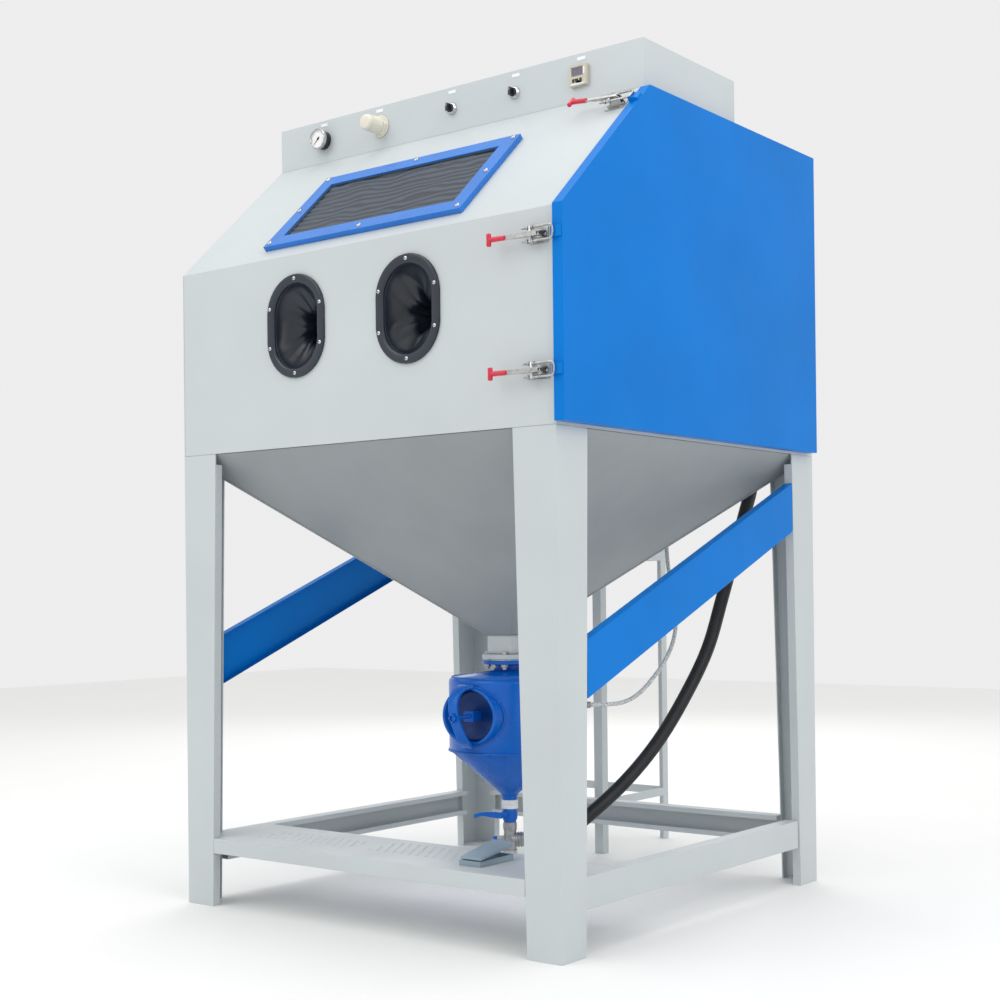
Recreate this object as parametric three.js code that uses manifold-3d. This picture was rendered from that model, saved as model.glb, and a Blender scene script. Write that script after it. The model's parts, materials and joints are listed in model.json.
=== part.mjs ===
// Sandblast cabinet: welded sheet cabinet on four folded legs, with a pressure pot under the hopper.
// Millimetres, +Z up, -Y is the operator's side, +X is the door side.
import * as THREE from "three";
import * as BufferGeometryUtils from "three/addons/utils/BufferGeometryUtils.js";
import Module from "manifold-3d";

const wasm = await Module();
wasm.setup();

// ---- Driving dimensions -------------------------------------------------
const GAP = 0.3; // clearance between touching pieces
const SHEET = 3; // cabinet sheet thickness
const HALF_W = 600; // half the cabinet's width
const DEPTH = 1200; // cabinet depth
const MID_Y = DEPTH / 2;
const BODY_Z = 1165; // lower edge of the cabinet panels
const BREAK_Z = 1638; // fold between the front and the sloping window panel
const SLOPE_Y = 364; // depth of the sloping panel
const ROOF_Z = 1981;
const BOX_TOP_Z = 2097; // control box
const BOX_BACK_Y = 791;
const SLOPE_LENGTH = Math.hypot(SLOPE_Y, ROOF_Z - BREAK_Z);
const SLOPE_UP = new THREE.Vector3(0, SLOPE_Y, ROOF_Z - BREAK_Z).normalize();
const ACROSS = new THREE.Vector3(1, 0, 0);
const SLOPE_OUT = new THREE.Vector3().crossVectors(ACROSS, SLOPE_UP);

const LEG_FOOT = 94; // leg flange width at the floor
const LEG_HEAD = 119; // and under the cabinet
const LEG_SHEET = 4;
const LEG_LIP = 24; // depth of the return lip
const LEG_TOP_Z = BODY_Z - GAP;
const LIP_TOP_Z = 1138;

const RAIL_LOW_Z = 102;
const RAIL_TOP_Z = 175;
const RAIL_DEPTH = 40;
const STEP_DEPTH = 262;
const STEP_DROP = 38;

const NECK_HALF = 39; // square hopper outlet
const NECK_TOP_Z = 688;
const FLANGE_Z = 624; // underside of the hopper flange
const FLANGE_R = 70;
const BOLT_CIRCLE_R = 56;

const POT_R = 160;
const POT_WALL = 5;
const POT_FLANGE_TOP_Z = FLANGE_Z - 4;
const POT_SHOULDER_Z = 573;
const POT_SEAM_Z = 382;
const POT_OUTLET_Z = 246;
const HAND_HOLE_Z = 480;

const DOOR_SKIN_X = 630; // outer face of the door
const DOOR_BACK_Y = 1170;
const HINGE_X = 613;
const HINGE_Y = 1186;
const HINGE_R = 7;

const PANEL_Z = 2041; // height of the instruments on the control box

// ---- Solid helpers -----------------------------------------------------------
function toManifold(geometry) {
  const bare = geometry.clone();
  bare.deleteAttribute("normal");
  bare.deleteAttribute("uv");
  const merged = BufferGeometryUtils.mergeVertices(bare, 1e-4);
  return new wasm.Manifold(new wasm.Mesh({
    numProp: 3,
    vertProperties: new Float32Array(merged.attributes.position.array),
    triVerts: new Uint32Array(merged.index.array),
  }));
}

function toGeometry(manifold) {
  const mesh = manifold.getMesh();
  const geometry = new THREE.BufferGeometry();
  geometry.setAttribute("position", new THREE.BufferAttribute(new Float32Array(mesh.vertProperties), 3));
  geometry.setIndex(new THREE.BufferAttribute(new Uint32Array(mesh.triVerts), 1));
  return geometry;
}

function union(...geometries) {
  return toGeometry(geometries.map(toManifold).reduce((sum, next) => sum.add(next)));
}

function cut(geometry, ...tools) {
  return toGeometry(tools.map(toManifold).reduce((rest, tool) => rest.subtract(tool), toManifold(geometry)));
}

// A box between two corners.
function box(x0, y0, z0, x1, y1, z1) {
  const geometry = new THREE.BoxGeometry(x1 - x0, y1 - y0, z1 - z0);
  return geometry.translate((x0 + x1) / 2, (y0 + y1) / 2, (z0 + z1) / 2);
}

// A round bar between two points.
function rod(from, to, radius, sides = 8) {
  const a = new THREE.Vector3(...from);
  const b = new THREE.Vector3(...to);
  const geometry = new THREE.CylinderGeometry(radius, radius, a.distanceTo(b), sides);
  const turn = new THREE.Quaternion().setFromUnitVectors(new THREE.Vector3(0, 1, 0), b.clone().sub(a).normalize());
  return geometry.applyQuaternion(turn).translate(...a.add(b).multiplyScalar(0.5));
}

function polygon(points) {
  return new THREE.Shape(points.map(([x, y]) => new THREE.Vector2(x, y)));
}

// An outline in Y and Z, given a thickness along X.
function slabX(points, x0, x1) {
  const geometry = new THREE.ExtrudeGeometry(polygon(points), { depth: x1 - x0, bevelEnabled: false });
  const basis = new THREE.Matrix4().makeBasis(
    new THREE.Vector3(0, 1, 0), new THREE.Vector3(0, 0, 1), ACROSS);
  return geometry.applyMatrix4(basis).translate(x0, 0, 0);
}

// An outline in X and Z, given a thickness along Y.
function slabY(points, y0, y1) {
  const geometry = new THREE.ExtrudeGeometry(polygon(points), { depth: y1 - y0, bevelEnabled: false });
  return geometry.rotateX(Math.PI / 2).translate(0, y1, 0);
}

// An outline in X and Y, given a thickness along Z.
function slabZ(points, z0, z1) {
  return new THREE.ExtrudeGeometry(polygon(points), { depth: z1 - z0, bevelEnabled: false }).translate(0, 0, z0);
}

// A solid of revolution about Z from [radius, height] pairs that start and end on the axis or close.
// The pairs may run either way round; the faces always point out.
function lathe(profile, segments = 16) {
  const points = profile.map(([r, z]) => new THREE.Vector2(r, z));
  if (THREE.ShapeUtils.area(points) < 0) {
    points.reverse();
  }
  return new THREE.LatheGeometry(points, segments).rotateX(Math.PI / 2);
}

// The same with its axis pointing out of the front face, towards -Y.
function latheFront(profile, segments = 16) {
  return lathe(profile, segments).rotateX(Math.PI / 2);
}

// A tube of round section along a smooth curve through the points.
function tube(points, radius, steps, sides = 8) {
  const curve = new THREE.CatmullRomCurve3(points.map((p) => new THREE.Vector3(...p)), false, "centripetal");
  const section = new THREE.Shape();
  section.absarc(0, 0, radius, 0, 2 * Math.PI, false);
  const ring = new THREE.Shape(section.getPoints(sides / 2).slice(0, sides));
  return new THREE.ExtrudeGeometry(ring, { steps, extrudePath: curve, bevelEnabled: false });
}

// A loop with straight sides and round ends; half sizes across X and Z.
function obround(halfX, halfZ, segments = 4) {
  const points = [];
  for (let i = 0; i <= segments * 2; i += 1) {
    const angle = (Math.PI * i) / (segments * 2);
    points.push([halfX * Math.cos(angle), halfZ - halfX + halfX * Math.sin(angle)]);
  }
  return points.concat(points.map(([x, z]) => [-x, -z]));
}

// The pentagon of the cabinet's end; points are [y, z].
const END_OUTLINE = [[0, BODY_Z], [0, BREAK_Z], [SLOPE_Y, ROOF_Z], [DEPTH, ROOF_Z], [DEPTH, BODY_Z]];

// ---- Materials ---------------------------------------------------------------
const COLOURS = {
  grey: [0xd3d9d8, 0.45, 0.1],
  hopperGrey: [0xb9bfbd, 0.5, 0.1],
  blue: [0x0a6fd0, 0.35, 0.1],
  potBlue: [0x0663c4, 0.4, 0.1],
  zinc: [0xc9cdd0, 0.3, 0.9],
  steel: [0xa8adb0, 0.4, 0.9],
  black: [0x1a1c1e, 0.6, 0],
  rubber: [0x141414, 0.8, 0],
  red: [0xd22a46, 0.4, 0],
  cream: [0xe0dccb, 0.5, 0],
  glass: [0x47525a, 0.1, 0],
  pedal: [0x8c9eac, 0.55, 0],
  white: [0xf2f2ee, 0.5, 0],
  clear: [0xd8dde0, 0.2, 0],
};

const part = new THREE.Group();

function addMesh(name, geometry, colour, parent = part) {
  const [color, roughness, metalness] = COLOURS[colour];
  const mesh = new THREE.Mesh(geometry, new THREE.MeshStandardMaterial({ color, roughness, metalness }));
  mesh.name = name;
  parent.add(mesh);
  return mesh;
}

// ---- Legs, rails and braces ---------------------------------------------------
const legWidth = (z) => LEG_FOOT + ((LEG_HEAD - LEG_FOOT) * z) / LEG_TOP_Z;

// One leg with its outer corner on the origin; its flanges run along +X and +Y.
function legGeometry() {
  const flange = [[0, 0], [LEG_FOOT, 0], [LEG_HEAD, LEG_TOP_Z], [0, LEG_TOP_Z]];
  const lip = [
    [LEG_FOOT - LEG_SHEET, 0],
    [LEG_FOOT, 0],
    [legWidth(LIP_TOP_Z), LIP_TOP_Z],
    [legWidth(LIP_TOP_Z) - LEG_SHEET, LIP_TOP_Z],
  ];
  const footHole = new THREE.CylinderGeometry(8, 8, 30, 8).rotateX(Math.PI / 2).translate(30, 30, 0);
  const foot = slabZ([[2, 2], [86, 2], [2, 86]], 0, 6);
  const solid = union(
    slabY(flange, 0, LEG_SHEET),
    slabX(flange, 0, LEG_SHEET),
    slabY(lip, 0, LEG_LIP),
    slabX(lip, 0, LEG_LIP),
    foot,
  );
  return cut(solid, footHole);
}

// Mirror a geometry in X, Y or both, keeping its faces pointing out.
function mirrored(geometry, flipX, flipY) {
  const copy = geometry.clone().scale(flipX ? -1 : 1, flipY ? -1 : 1, 1);
  if (flipX !== flipY) {
    const index = copy.index.array;
    for (let i = 0; i < index.length; i += 3) {
      [index[i], index[i + 1]] = [index[i + 1], index[i]];
    }
  }
  return copy;
}

function buildLegs() {
  const leg = legGeometry();
  for (const [side, flipX] of [["left", false], ["right", true]]) {
    for (const [end, flipY] of [["front", false], ["rear", true]]) {
      const mesh = addMesh(`leg_${end}_${side}`, mirrored(leg, flipX, flipY), "grey");
      mesh.position.set(flipX ? HALF_W : -HALF_W, flipY ? DEPTH : 0, 0);
    }
  }
}

// A lipped channel standing on edge along +X, its back on y = 0 and its open side towards +Y.
function channel(length) {
  const t = SHEET;
  const h = RAIL_TOP_Z - RAIL_LOW_Z;
  const lip = 14;
  const outline = [
    [0, 0], [RAIL_DEPTH, 0], [RAIL_DEPTH, lip], [RAIL_DEPTH - t, lip], [RAIL_DEPTH - t, t], [t, t],
    [t, h - t], [RAIL_DEPTH - t, h - t], [RAIL_DEPTH - t, h - lip], [RAIL_DEPTH, h - lip], [RAIL_DEPTH, h], [0, h],
  ];
  return slabX(outline, 0, length).translate(0, 0, RAIL_LOW_Z);
}

// The step plate welded between the two side rails, and the rear rail on its own.
function buildBase() {
  const clear = legWidth(RAIL_TOP_Z) + GAP;
  const sideLength = DEPTH - 2 * clear;
  const inner = HALF_W - LEG_SHEET - GAP;
  const right = channel(sideLength).rotateZ(Math.PI / 2).translate(inner, clear, 0);
  const left = channel(sideLength).rotateZ(-Math.PI / 2).translate(-inner, DEPTH - clear, 0);
  const nose = HALF_W - clear;
  const behindLip = LEG_LIP + GAP;
  const overRail = inner - RAIL_DEPTH / 2;
  const top = [
    [-nose, 0], [nose, 0], [nose, behindLip], [inner - LEG_LIP, behindLip], [inner - LEG_LIP, clear],
    [overRail, clear], [overRail, STEP_DEPTH], [-overRail, STEP_DEPTH], [-overRail, clear],
    [-inner + LEG_LIP, clear], [-inner + LEG_LIP, behindLip], [-nose, behindLip],
  ];
  const frontDrop = box(-nose, 0, RAIL_TOP_Z - STEP_DROP, nose, SHEET, RAIL_TOP_Z);
  const rearDrop = box(-overRail, STEP_DEPTH - SHEET, RAIL_TOP_Z - STEP_DROP, overRail, STEP_DEPTH, RAIL_TOP_Z);
  const plate = slabZ(top, RAIL_TOP_Z - SHEET, RAIL_TOP_Z);
  addMesh("base_platform", union(plate, frontDrop, rearDrop, left, right), "grey");
  const rear = channel(2 * nose).rotateZ(Math.PI).translate(nose, DEPTH - LEG_SHEET - GAP, 0);
  addMesh("rear_rail", rear, "grey");
}

function buildBraces() {
  const height = 130;
  const frontZ = 567;
  const rise = 0.4;
  const fold = 24;
  const y0 = legWidth(frontZ + height) + GAP;
  const y1 = DEPTH - legWidth(1080) - GAP;
  const zAt = (y) => frontZ + rise * (y - y0);
  const bar = (inset) => [
    [y0, zAt(y0) + inset], [y1, zAt(y1) + inset], [y1, zAt(y1) + height - inset], [y0, zAt(y0) + height - inset],
  ];
  const outer = slabX(bar(0), HALF_W - fold, HALF_W);
  const hollow = slabX(bar(SHEET), HALF_W - fold - 1, HALF_W - SHEET);
  const right = cut(outer, hollow);
  addMesh("brace_right", right, "blue");
  addMesh("brace_left", mirrored(right, true, false), "blue");
}

// ---- Cabinet shell --------------------------------------------------------------
// Place a geometry drawn flat (x across, y up the slope, z outwards) on the sloping panel.
function onSlope(geometry) {
  const place = new THREE.Matrix4().makeBasis(ACROSS, SLOPE_UP, SLOPE_OUT).setPosition(0, 0, BREAK_Z);
  return geometry.applyMatrix4(place);
}

const WINDOW = { width: 640, height: 322, low: 43, rim: 42, thick: 14, opening: 20 };
const PORT = { x: 182, z: 1461.5, halfX: 97, halfZ: 127.5, rim: 23, thick: 8 };

function buildFrontPanel() {
  const edge = HALF_W - SHEET - GAP;
  const lower = new THREE.ExtrudeGeometry(
    portPlateShape(edge), { depth: SHEET, bevelEnabled: false }).rotateX(Math.PI / 2).translate(0, SHEET, 0);
  const plate = box(-edge, 0, -SHEET, edge, SLOPE_LENGTH, 0);
  const opening = box(
    -WINDOW.width / 2 + WINDOW.opening, WINDOW.low + WINDOW.opening, -2 * SHEET,
    WINDOW.width / 2 - WINDOW.opening, WINDOW.low + WINDOW.height - WINDOW.opening, SHEET);
  const slope = onSlope(cut(plate, opening));
  const below = box(-HALF_W, -50, BREAK_Z - 100, HALF_W, 0, BREAK_Z + 100);
  const above = box(-HALF_W, SLOPE_Y - 50, ROOF_Z, HALF_W, SLOPE_Y + 50, ROOF_Z + 50);
  const behind = box(-HALF_W, SLOPE_Y - GAP, ROOF_Z - 50, HALF_W, SLOPE_Y + 50, ROOF_Z + 50);
  addMesh("front_panel", cut(union(lower, slope), below, above, behind), "grey");
}

// The upright part of the front panel with its two glove ports; drawn in X and Z.
function portPlateShape(edge) {
  const shape = polygon([[-edge, BODY_Z], [edge, BODY_Z], [edge, BREAK_Z], [-edge, BREAK_Z]]);
  for (const side of [-1, 1]) {
    const loop = obround(PORT.halfX - PORT.rim + 5, PORT.halfZ - PORT.rim + 5);
    shape.holes.push(new THREE.Path(loop.map(([x, z]) => new THREE.Vector2(x + side * PORT.x, z + PORT.z))));
  }
  return shape;
}

function buildShell() {
  buildFrontPanel();
  const edge = HALF_W - SHEET - GAP;
  const roof = box(-edge, SLOPE_Y, ROOF_Z - SHEET, HALF_W, DEPTH, ROOF_Z);
  const rear = box(-edge, DEPTH - SHEET, BODY_Z, HALF_W, DEPTH, ROOF_Z);
  const duct = rod([DUCT.x, DEPTH - 20, DUCT.z], [DUCT.x, DEPTH + 20, DUCT.z], DUCT.r, 20);
  addMesh("left_panel", slabX(END_OUTLINE, -HALF_W, -HALF_W + SHEET), "grey");
  const ring = cut(slabX(END_OUTLINE, edge + GAP, HALF_W), slabX(doorOutline(36), HALF_W - 10, HALF_W + 10));
  const shell = cut(union(roof, rear, ring), duct);
  addMesh("rear_shell", union(shell, hoseElbow(BLAST_PORT, 21), hoseElbow(AIR_PORT, 8)), "grey");
  const seal = cut(slabX(doorOutline(12), HALF_W + GAP, HALF_W + 2.7), slabX(doorOutline(27), HALF_W, HALF_W + 10));
  addMesh("door_seal", seal, "rubber");
  const outer = box(-HALF_W, SLOPE_Y + GAP, ROOF_Z + GAP, HALF_W, BOX_BACK_Y, BOX_TOP_Z);
  const inside = box(-HALF_W + SHEET, SLOPE_Y + GAP + SHEET, ROOF_Z - 10, HALF_W - SHEET, BOX_BACK_Y - SHEET,
    BOX_TOP_Z - SHEET);
  const bezels = SWITCH_X.map((x) => turned([[0, -1], [16, -1], [16, 4], [13, 8], [0, 8]], x, 12));
  addMesh("control_box", union(cut(outer, inside), ...bezels), "grey");
}

// Elbows on the rear wall that turn the hoses inside; each mouth faces down at its port.
const BLAST_PORT = [400, 1245, 1368];
const AIR_PORT = [130, 1229, 1200];

function hoseElbow([x, y, z], radius) {
  const bend = z + radius * 1.4;
  return union(
    rod([x, DEPTH - 1, bend], [x, y, bend], radius, 10),
    rod([x, y, z + GAP], [x, y, bend + radius], radius, 10));
}

// The hopper: four plates folding down to a square neck with a round flange.
function buildHopper() {
  const rim = HALF_W - LEG_SHEET - 1;
  const inside = NECK_HALF - SHEET;
  const outer = funnel([[rim, BODY_Z - GAP], [NECK_HALF, NECK_TOP_Z]]);
  const inner = funnel([
    [rim - SHEET + 4.8, BODY_Z + 4.5], [inside, NECK_TOP_Z + 1.2 * SHEET], [inside, NECK_TOP_Z - 10],
  ]);
  addMesh("hopper", cut(outer, inner).translate(0, MID_Y, 0), "hopperGrey");
}

// The square neck under the hopper, welded to the round flange that the pot hangs from.
function buildHopperNeck() {
  const inside = NECK_HALF - SHEET;
  const tubing = funnel([[NECK_HALF, NECK_TOP_Z - GAP], [NECK_HALF, FLANGE_Z]]);
  const bore = funnel([[inside, NECK_TOP_Z + 5], [inside, FLANGE_Z - 10]]);
  const flange = new THREE.CylinderGeometry(FLANGE_R, FLANGE_R, 12, 16).rotateX(Math.PI / 2);
  flange.translate(0, 0, FLANGE_Z + 6);
  const solid = cut(union(tubing, flange), bore, ...flangeBolts(BOLT_R + GAP, FLANGE_Z - 5, FLANGE_Z + 20));
  addMesh("hopper_neck", solid.translate(0, MID_Y, 0), "hopperGrey");
}

// A square funnel through [half width, height] rings, from the top down.
function funnel(rings) {
  const profile = rings.map(([half, z]) => [half * Math.SQRT2, z]);
  const closed = [[0, profile[profile.length - 1][1]], ...profile.slice().reverse(), [0, profile[0][1]]];
  return lathe(closed, 4).rotateZ(Math.PI / 4);
}

const BOLT_R = 5;

function flangeBolts(radius, z0, z1) {
  const bolts = [];
  for (let i = 0; i < 4; i += 1) {
    const angle = Math.PI / 4 + (i * Math.PI) / 2 - 0.3;
    const x = BOLT_CIRCLE_R * Math.cos(angle);
    const y = BOLT_CIRCLE_R * Math.sin(angle);
    bolts.push(rod([x, y, z0], [x, y, z1], radius, 6));
  }
  return bolts;
}

function buildFlangeJoint() {
  const seat = POT_FLANGE_TOP_Z + GAP;
  const face = FLANGE_Z - GAP;
  const gasket = lathe([
    [NECK_HALF, seat], [FLANGE_R - 2, seat], [FLANGE_R - 2, face], [NECK_HALF, face], [NECK_HALF, seat]]);
  const low = POT_FLANGE_TOP_Z - 10;
  const shanks = flangeBolts(BOLT_R, low - 14, FLANGE_Z + 14);
  const heads = flangeBolts(9, FLANGE_Z + 12 + GAP, FLANGE_Z + 19);
  const nuts = flangeBolts(9, low - 8, low - GAP);
  const joint = union(gasket, ...shanks, ...heads, ...nuts);
  addMesh("flange_gasket", joint.translate(0, MID_Y, 0), "zinc");
}

// ---- Door -----------------------------------------------------------------------
const DOOR_FRONT_Y = -11;
const DOOR_LOW_Z = 1171;
const DOOR_TOP_Z = 1974;
const DOOR_SLOPE_LIFT = 8;

// The door's outline moved inwards by an inset; points are [y, z].
function doorOutline(inset) {
  const lift = DOOR_SLOPE_LIFT - inset;
  const foot = new THREE.Vector3(0, 0, BREAK_Z).addScaledVector(SLOPE_OUT, lift);
  const front = DOOR_FRONT_Y + inset;
  const top = DOOR_TOP_Z - inset;
  const slope = SLOPE_UP.z / SLOPE_UP.y;
  return [
    [front, DOOR_LOW_Z + inset],
    [front, foot.z + (front - foot.y) * slope],
    [foot.y + (top - foot.z) / slope, top],
    [DOOR_BACK_Y - inset, top],
    [DOOR_BACK_Y - inset, DOOR_LOW_Z + inset],
  ];
}

const HINGE_HEIGHTS = [1290, 1560, 1830];
const KNUCKLE = 40; // half length of a hinge

function buildDoor() {
  const rimX = HALF_W + 3;
  const skin = slabX(doorOutline(0), rimX, DOOR_SKIN_X);
  const pocket = slabX(doorOutline(SHEET), rimX + SHEET, DOOR_SKIN_X - SHEET);
  const mouth = slabX(doorOutline(28), rimX - 1, rimX + SHEET + 1);
  const knuckles = HINGE_HEIGHTS.map((z) => union(
    rod([HINGE_X, HINGE_Y, z - KNUCKLE], [HINGE_X, HINGE_Y, z - GAP], HINGE_R),
    box(HINGE_X, DOOR_BACK_Y - 6, z - KNUCKLE, HINGE_X + 4, HINGE_Y, z - GAP),
  ));
  const bores = HINGE_HEIGHTS.map((z) => (
    rod([HINGE_X, HINGE_Y, z - KNUCKLE - 5], [HINGE_X, HINGE_Y, z + 5], PIN_R + GAP)));
  const catches = LATCHES.map((latch) => catchGeometry(latch));
  const plate = cut(skin, pocket, mouth);
  addMesh("door", cut(union(plate, ...knuckles, ...catches), ...bores), "blue");
}

const PIN_R = 3.5;

// The fixed leaf is one strip down the cabinet's edge, carrying every upper knuckle and pin.
function buildHinges() {
  const knuckles = HINGE_HEIGHTS.map((z) => union(
    rod([HINGE_X, HINGE_Y, z + GAP], [HINGE_X, HINGE_Y, z + KNUCKLE], HINGE_R),
    rod([HINGE_X, HINGE_Y, z - KNUCKLE], [HINGE_X, HINGE_Y, z + KNUCKLE], PIN_R),
    box(HALF_W + GAP, HINGE_Y - 2, z + GAP, HINGE_X, HINGE_Y + 2, z + KNUCKLE),
  ));
  const low = HINGE_HEIGHTS[0] - KNUCKLE;
  const high = HINGE_HEIGHTS[HINGE_HEIGHTS.length - 1] + KNUCKLE;
  const strip = box(HALF_W + GAP, HINGE_Y - 6, low, HALF_W + 3, DEPTH, high);
  addMesh("door_hinges", union(strip, ...knuckles), "steel");
}

// ---- Toggle latches ---------------------------------------------------------------
// Each latch has a frame of its own: u towards the door, v along the pivot, w out of the panel.
const LATCH_X = 560;
const FRONT_UP = new THREE.Vector3(0, 0, 1);
const FRONT_OUT = new THREE.Vector3(0, -1, 0);
const LATCHES = [
  { up: SLOPE_UP, out: SLOPE_OUT, at: slopePoint(LATCH_X, 425), doorLift: DOOR_SLOPE_LIFT },
  { up: FRONT_UP, out: FRONT_OUT, at: new THREE.Vector3(LATCH_X, 0, 1576), doorLift: -DOOR_FRONT_Y },
  { up: FRONT_UP, out: FRONT_OUT, at: new THREE.Vector3(LATCH_X, 0, 1282), doorLift: -DOOR_FRONT_Y },
];
const PIVOT = { u: 10, w: 18 }; // lever pivot
const TRUNNION = { u: -8, w: 22 }; // where the hook hangs on the lever

function slopePoint(x, along) {
  return new THREE.Vector3(x, 0, BREAK_Z).addScaledVector(SLOPE_UP, along);
}

function placeLatch(latch, geometry) {
  const frame = new THREE.Matrix4().makeBasis(ACROSS, latch.up, latch.out).setPosition(latch.at);
  return geometry.applyMatrix4(frame);
}

// An outline in u and w, given a thickness along v.
function latchSlab(points, v0, v1) {
  const geometry = new THREE.ExtrudeGeometry(polygon(points), { depth: v1 - v0, bevelEnabled: false });
  return geometry.rotateX(Math.PI / 2).translate(0, v1, 0);
}

function catchGeometry(latch) {
  const foot = latch.doorLift - 1;
  const outline = [[43, foot], [68, foot], [68, 15], [50, 18.8], [43, 18.8]];
  return placeLatch(latch, latchSlab(outline, -12, 12));
}

function latchBase() {
  const plate = box(-26, -18, GAP, 27, 18, 2.8);
  const ear = [[-20, 2], [22, 2], [17, 20], [13, 23.5], [7, 23.5], [3, 20], [-8, 10], [-20, 8]];
  const ears = union(latchSlab(ear, -8.5, -6), latchSlab(ear, 6, 8.5));
  const pin = rod([PIVOT.u, -10, PIVOT.w], [PIVOT.u, 10, PIVOT.w], 3);
  const screws = [-18, 18].map((u) => rod([u, 0, GAP], [u, 0, 6], 4.5, 6));
  return union(plate, ears, pin, ...screws);
}

function latchLever() {
  const arm = [[18, 13], [18, 23], [12, 27], [-60, 31], [-113, 36], [-113, 32], [-60, 26], [-14, 17], [4, 12]];
  const grip = rod([-72, 0, 30.2], [-112, 0, 34], 5.5, 6);
  const tip = rod([-113, -14, 34], [-113, 14, 34], 5.5, 6);
  const bores = [
    rod([PIVOT.u, -20, PIVOT.w], [PIVOT.u, 20, PIVOT.w], 3.4),
    rod([TRUNNION.u, -20, TRUNNION.w], [TRUNNION.u, 20, TRUNNION.w], 4.4),
  ];
  return cut(union(latchSlab(arm, -3.5, 3.5), grip, tip), ...bores);
}

function latchHook() {
  const side = 15;
  const reach = 46;
  const arc = [];
  for (let i = 0; i <= 4; i += 1) {
    const angle = -Math.PI / 2 + (Math.PI * i) / 4;
    arc.push([reach + 6 * Math.cos(angle), side * Math.sin(angle), TRUNNION.w]);
  }
  const loop = tube([[-30, -side, TRUNNION.w], ...arc, [-30, side, TRUNNION.w]], 2.5, 16, 6);
  const trunnion = rod([TRUNNION.u, -18, TRUNNION.w], [TRUNNION.u, 18, TRUNNION.w], 4);
  return union(loop, trunnion);
}

function buildLatches() {
  LATCHES.forEach((latch, i) => {
    addMesh(`latch_base_${i + 1}`, placeLatch(latch, latchBase()), "zinc");
    addMesh(`latch_lever_${i + 1}`, placeLatch(latch, latchLever()), "red");
    addMesh(`latch_hook_${i + 1}`, placeLatch(latch, latchHook()), "zinc");
  });
}

// ---- Window and glove ports ---------------------------------------------------------
function buildWindow() {
  const { width, height, low, rim, thick, opening } = WINDOW;
  const outer = box(-width / 2, low, GAP, width / 2, low + height, thick);
  const hole = box(-width / 2 + rim, low + rim, -5, width / 2 - rim, low + height - rim, thick + 5);
  const step = 8;
  const rebate = box(-width / 2 + opening, low + opening, -5, width / 2 - opening, low + height - opening, step);
  const screws = windowScrewSpots().map(([x, up]) => rod([x, up, thick - 1], [x, up, thick + 4], 5, 8));
  addMesh("window_frame", onSlope(union(cut(outer, hole, rebate), ...screws)), "blue");
  const side = width / 2 - opening - 1;
  const glass = box(-side, low + opening + 1, 1, side, low + height - opening - 1, step - GAP);
  addMesh("window_glass", onSlope(glass), "glass");
}

function windowScrewSpots() {
  const { width, height, low } = WINDOW;
  const spots = [];
  for (const x of [-1, 0, 1]) {
    for (const up of [-1, 0, 1]) {
      if (x !== 0 || up !== 0) {
        spots.push([x * (width / 2 - 14), low + height / 2 + up * (height / 2 - 14)]);
      }
    }
  }
  return spots;
}

const PORT_SCREWS = [[0, 1], [0, -1], [1, 0.42], [1, -0.42], [-1, 0.42], [-1, -0.42]];

function buildPorts() {
  for (const [side, end] of [[-1, "left"], [1, "right"]]) {
    const outline = polygon(obround(PORT.halfX, PORT.halfZ));
    const inner = obround(PORT.halfX - PORT.rim, PORT.halfZ - PORT.rim);
    outline.holes.push(new THREE.Path(inner.map(([x, z]) => new THREE.Vector2(x, z))));
    const depth = PORT.thick - GAP;
    const ring = new THREE.ExtrudeGeometry(outline, { depth, bevelEnabled: false }).rotateX(Math.PI / 2);
    const screws = PORT_SCREWS.map(([x, z]) => {
      const screwX = x * (PORT.halfX - PORT.rim / 2);
      const screwZ = z * (PORT.halfZ - PORT.rim / 2);
      return rod([screwX, -PORT.thick - 3, screwZ], [screwX, -PORT.thick + 1, screwZ], 5, 8);
    });
    const frame = union(ring.translate(0, -GAP, 0), ...screws);
    addMesh(`port_frame_${end}`, frame.translate(side * PORT.x, 0, PORT.z), "black");
    addMesh(`glove_${end}`, gloveGeometry().translate(side * PORT.x, 0, PORT.z), "rubber");
  }
}

// A gauntlet sleeve narrowing to a closed hand, hanging into the cabinet, open towards the operator.
function gloveGeometry() {
  const wall = 3;
  const outer = [[73, 0], [74, 60], [62, 200], [50, 330], [52, 420], [34, 480]];
  const inner = outer.map(([r, y]) => [r - wall, y]).slice(0, -1).concat([[30, 475]]);
  const profile = [...inner, [0, 476], [0, 481], ...outer.reverse(), inner[0]];
  return latheFront(profile.map(([r, y]) => [r, -y]), 12).scale(1, 1, 1.4);
}

// ---- Instruments ----------------------------------------------------------------------
const FACE_Y = SLOPE_Y; // front face of the control box, less the gap
const SWITCH_X = [20, 222];

// A turned piece standing on the control box's face; heights are measured outwards.
function turned(profile, x, segments = 16) {
  return latheFront(profile, segments).translate(x, FACE_Y, PANEL_Z);
}

function buildGauge() {
  const x = -433;
  const face = [[0, GAP], [25, GAP], [25, 20], [28, 21], [28, 31], [24.5, 31], [24.5, 26], [0, 26]];
  addMesh("gauge_case", turned(face, x, 20), "black");
  const hub = turned([[0, 26.4], [3, 26.4], [3, 28.5], [0, 28.5]], x, 8);
  const pointer = slabY([[-1.6, -6], [1.6, -6], [0.5, 19], [-0.5, 19]], FACE_Y - 28, FACE_Y - 26.7);
  pointer.rotateY(-2.3).translate(x, 0, PANEL_Z);
  addMesh("gauge_needle", union(hub, pointer), "black");
}

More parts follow.
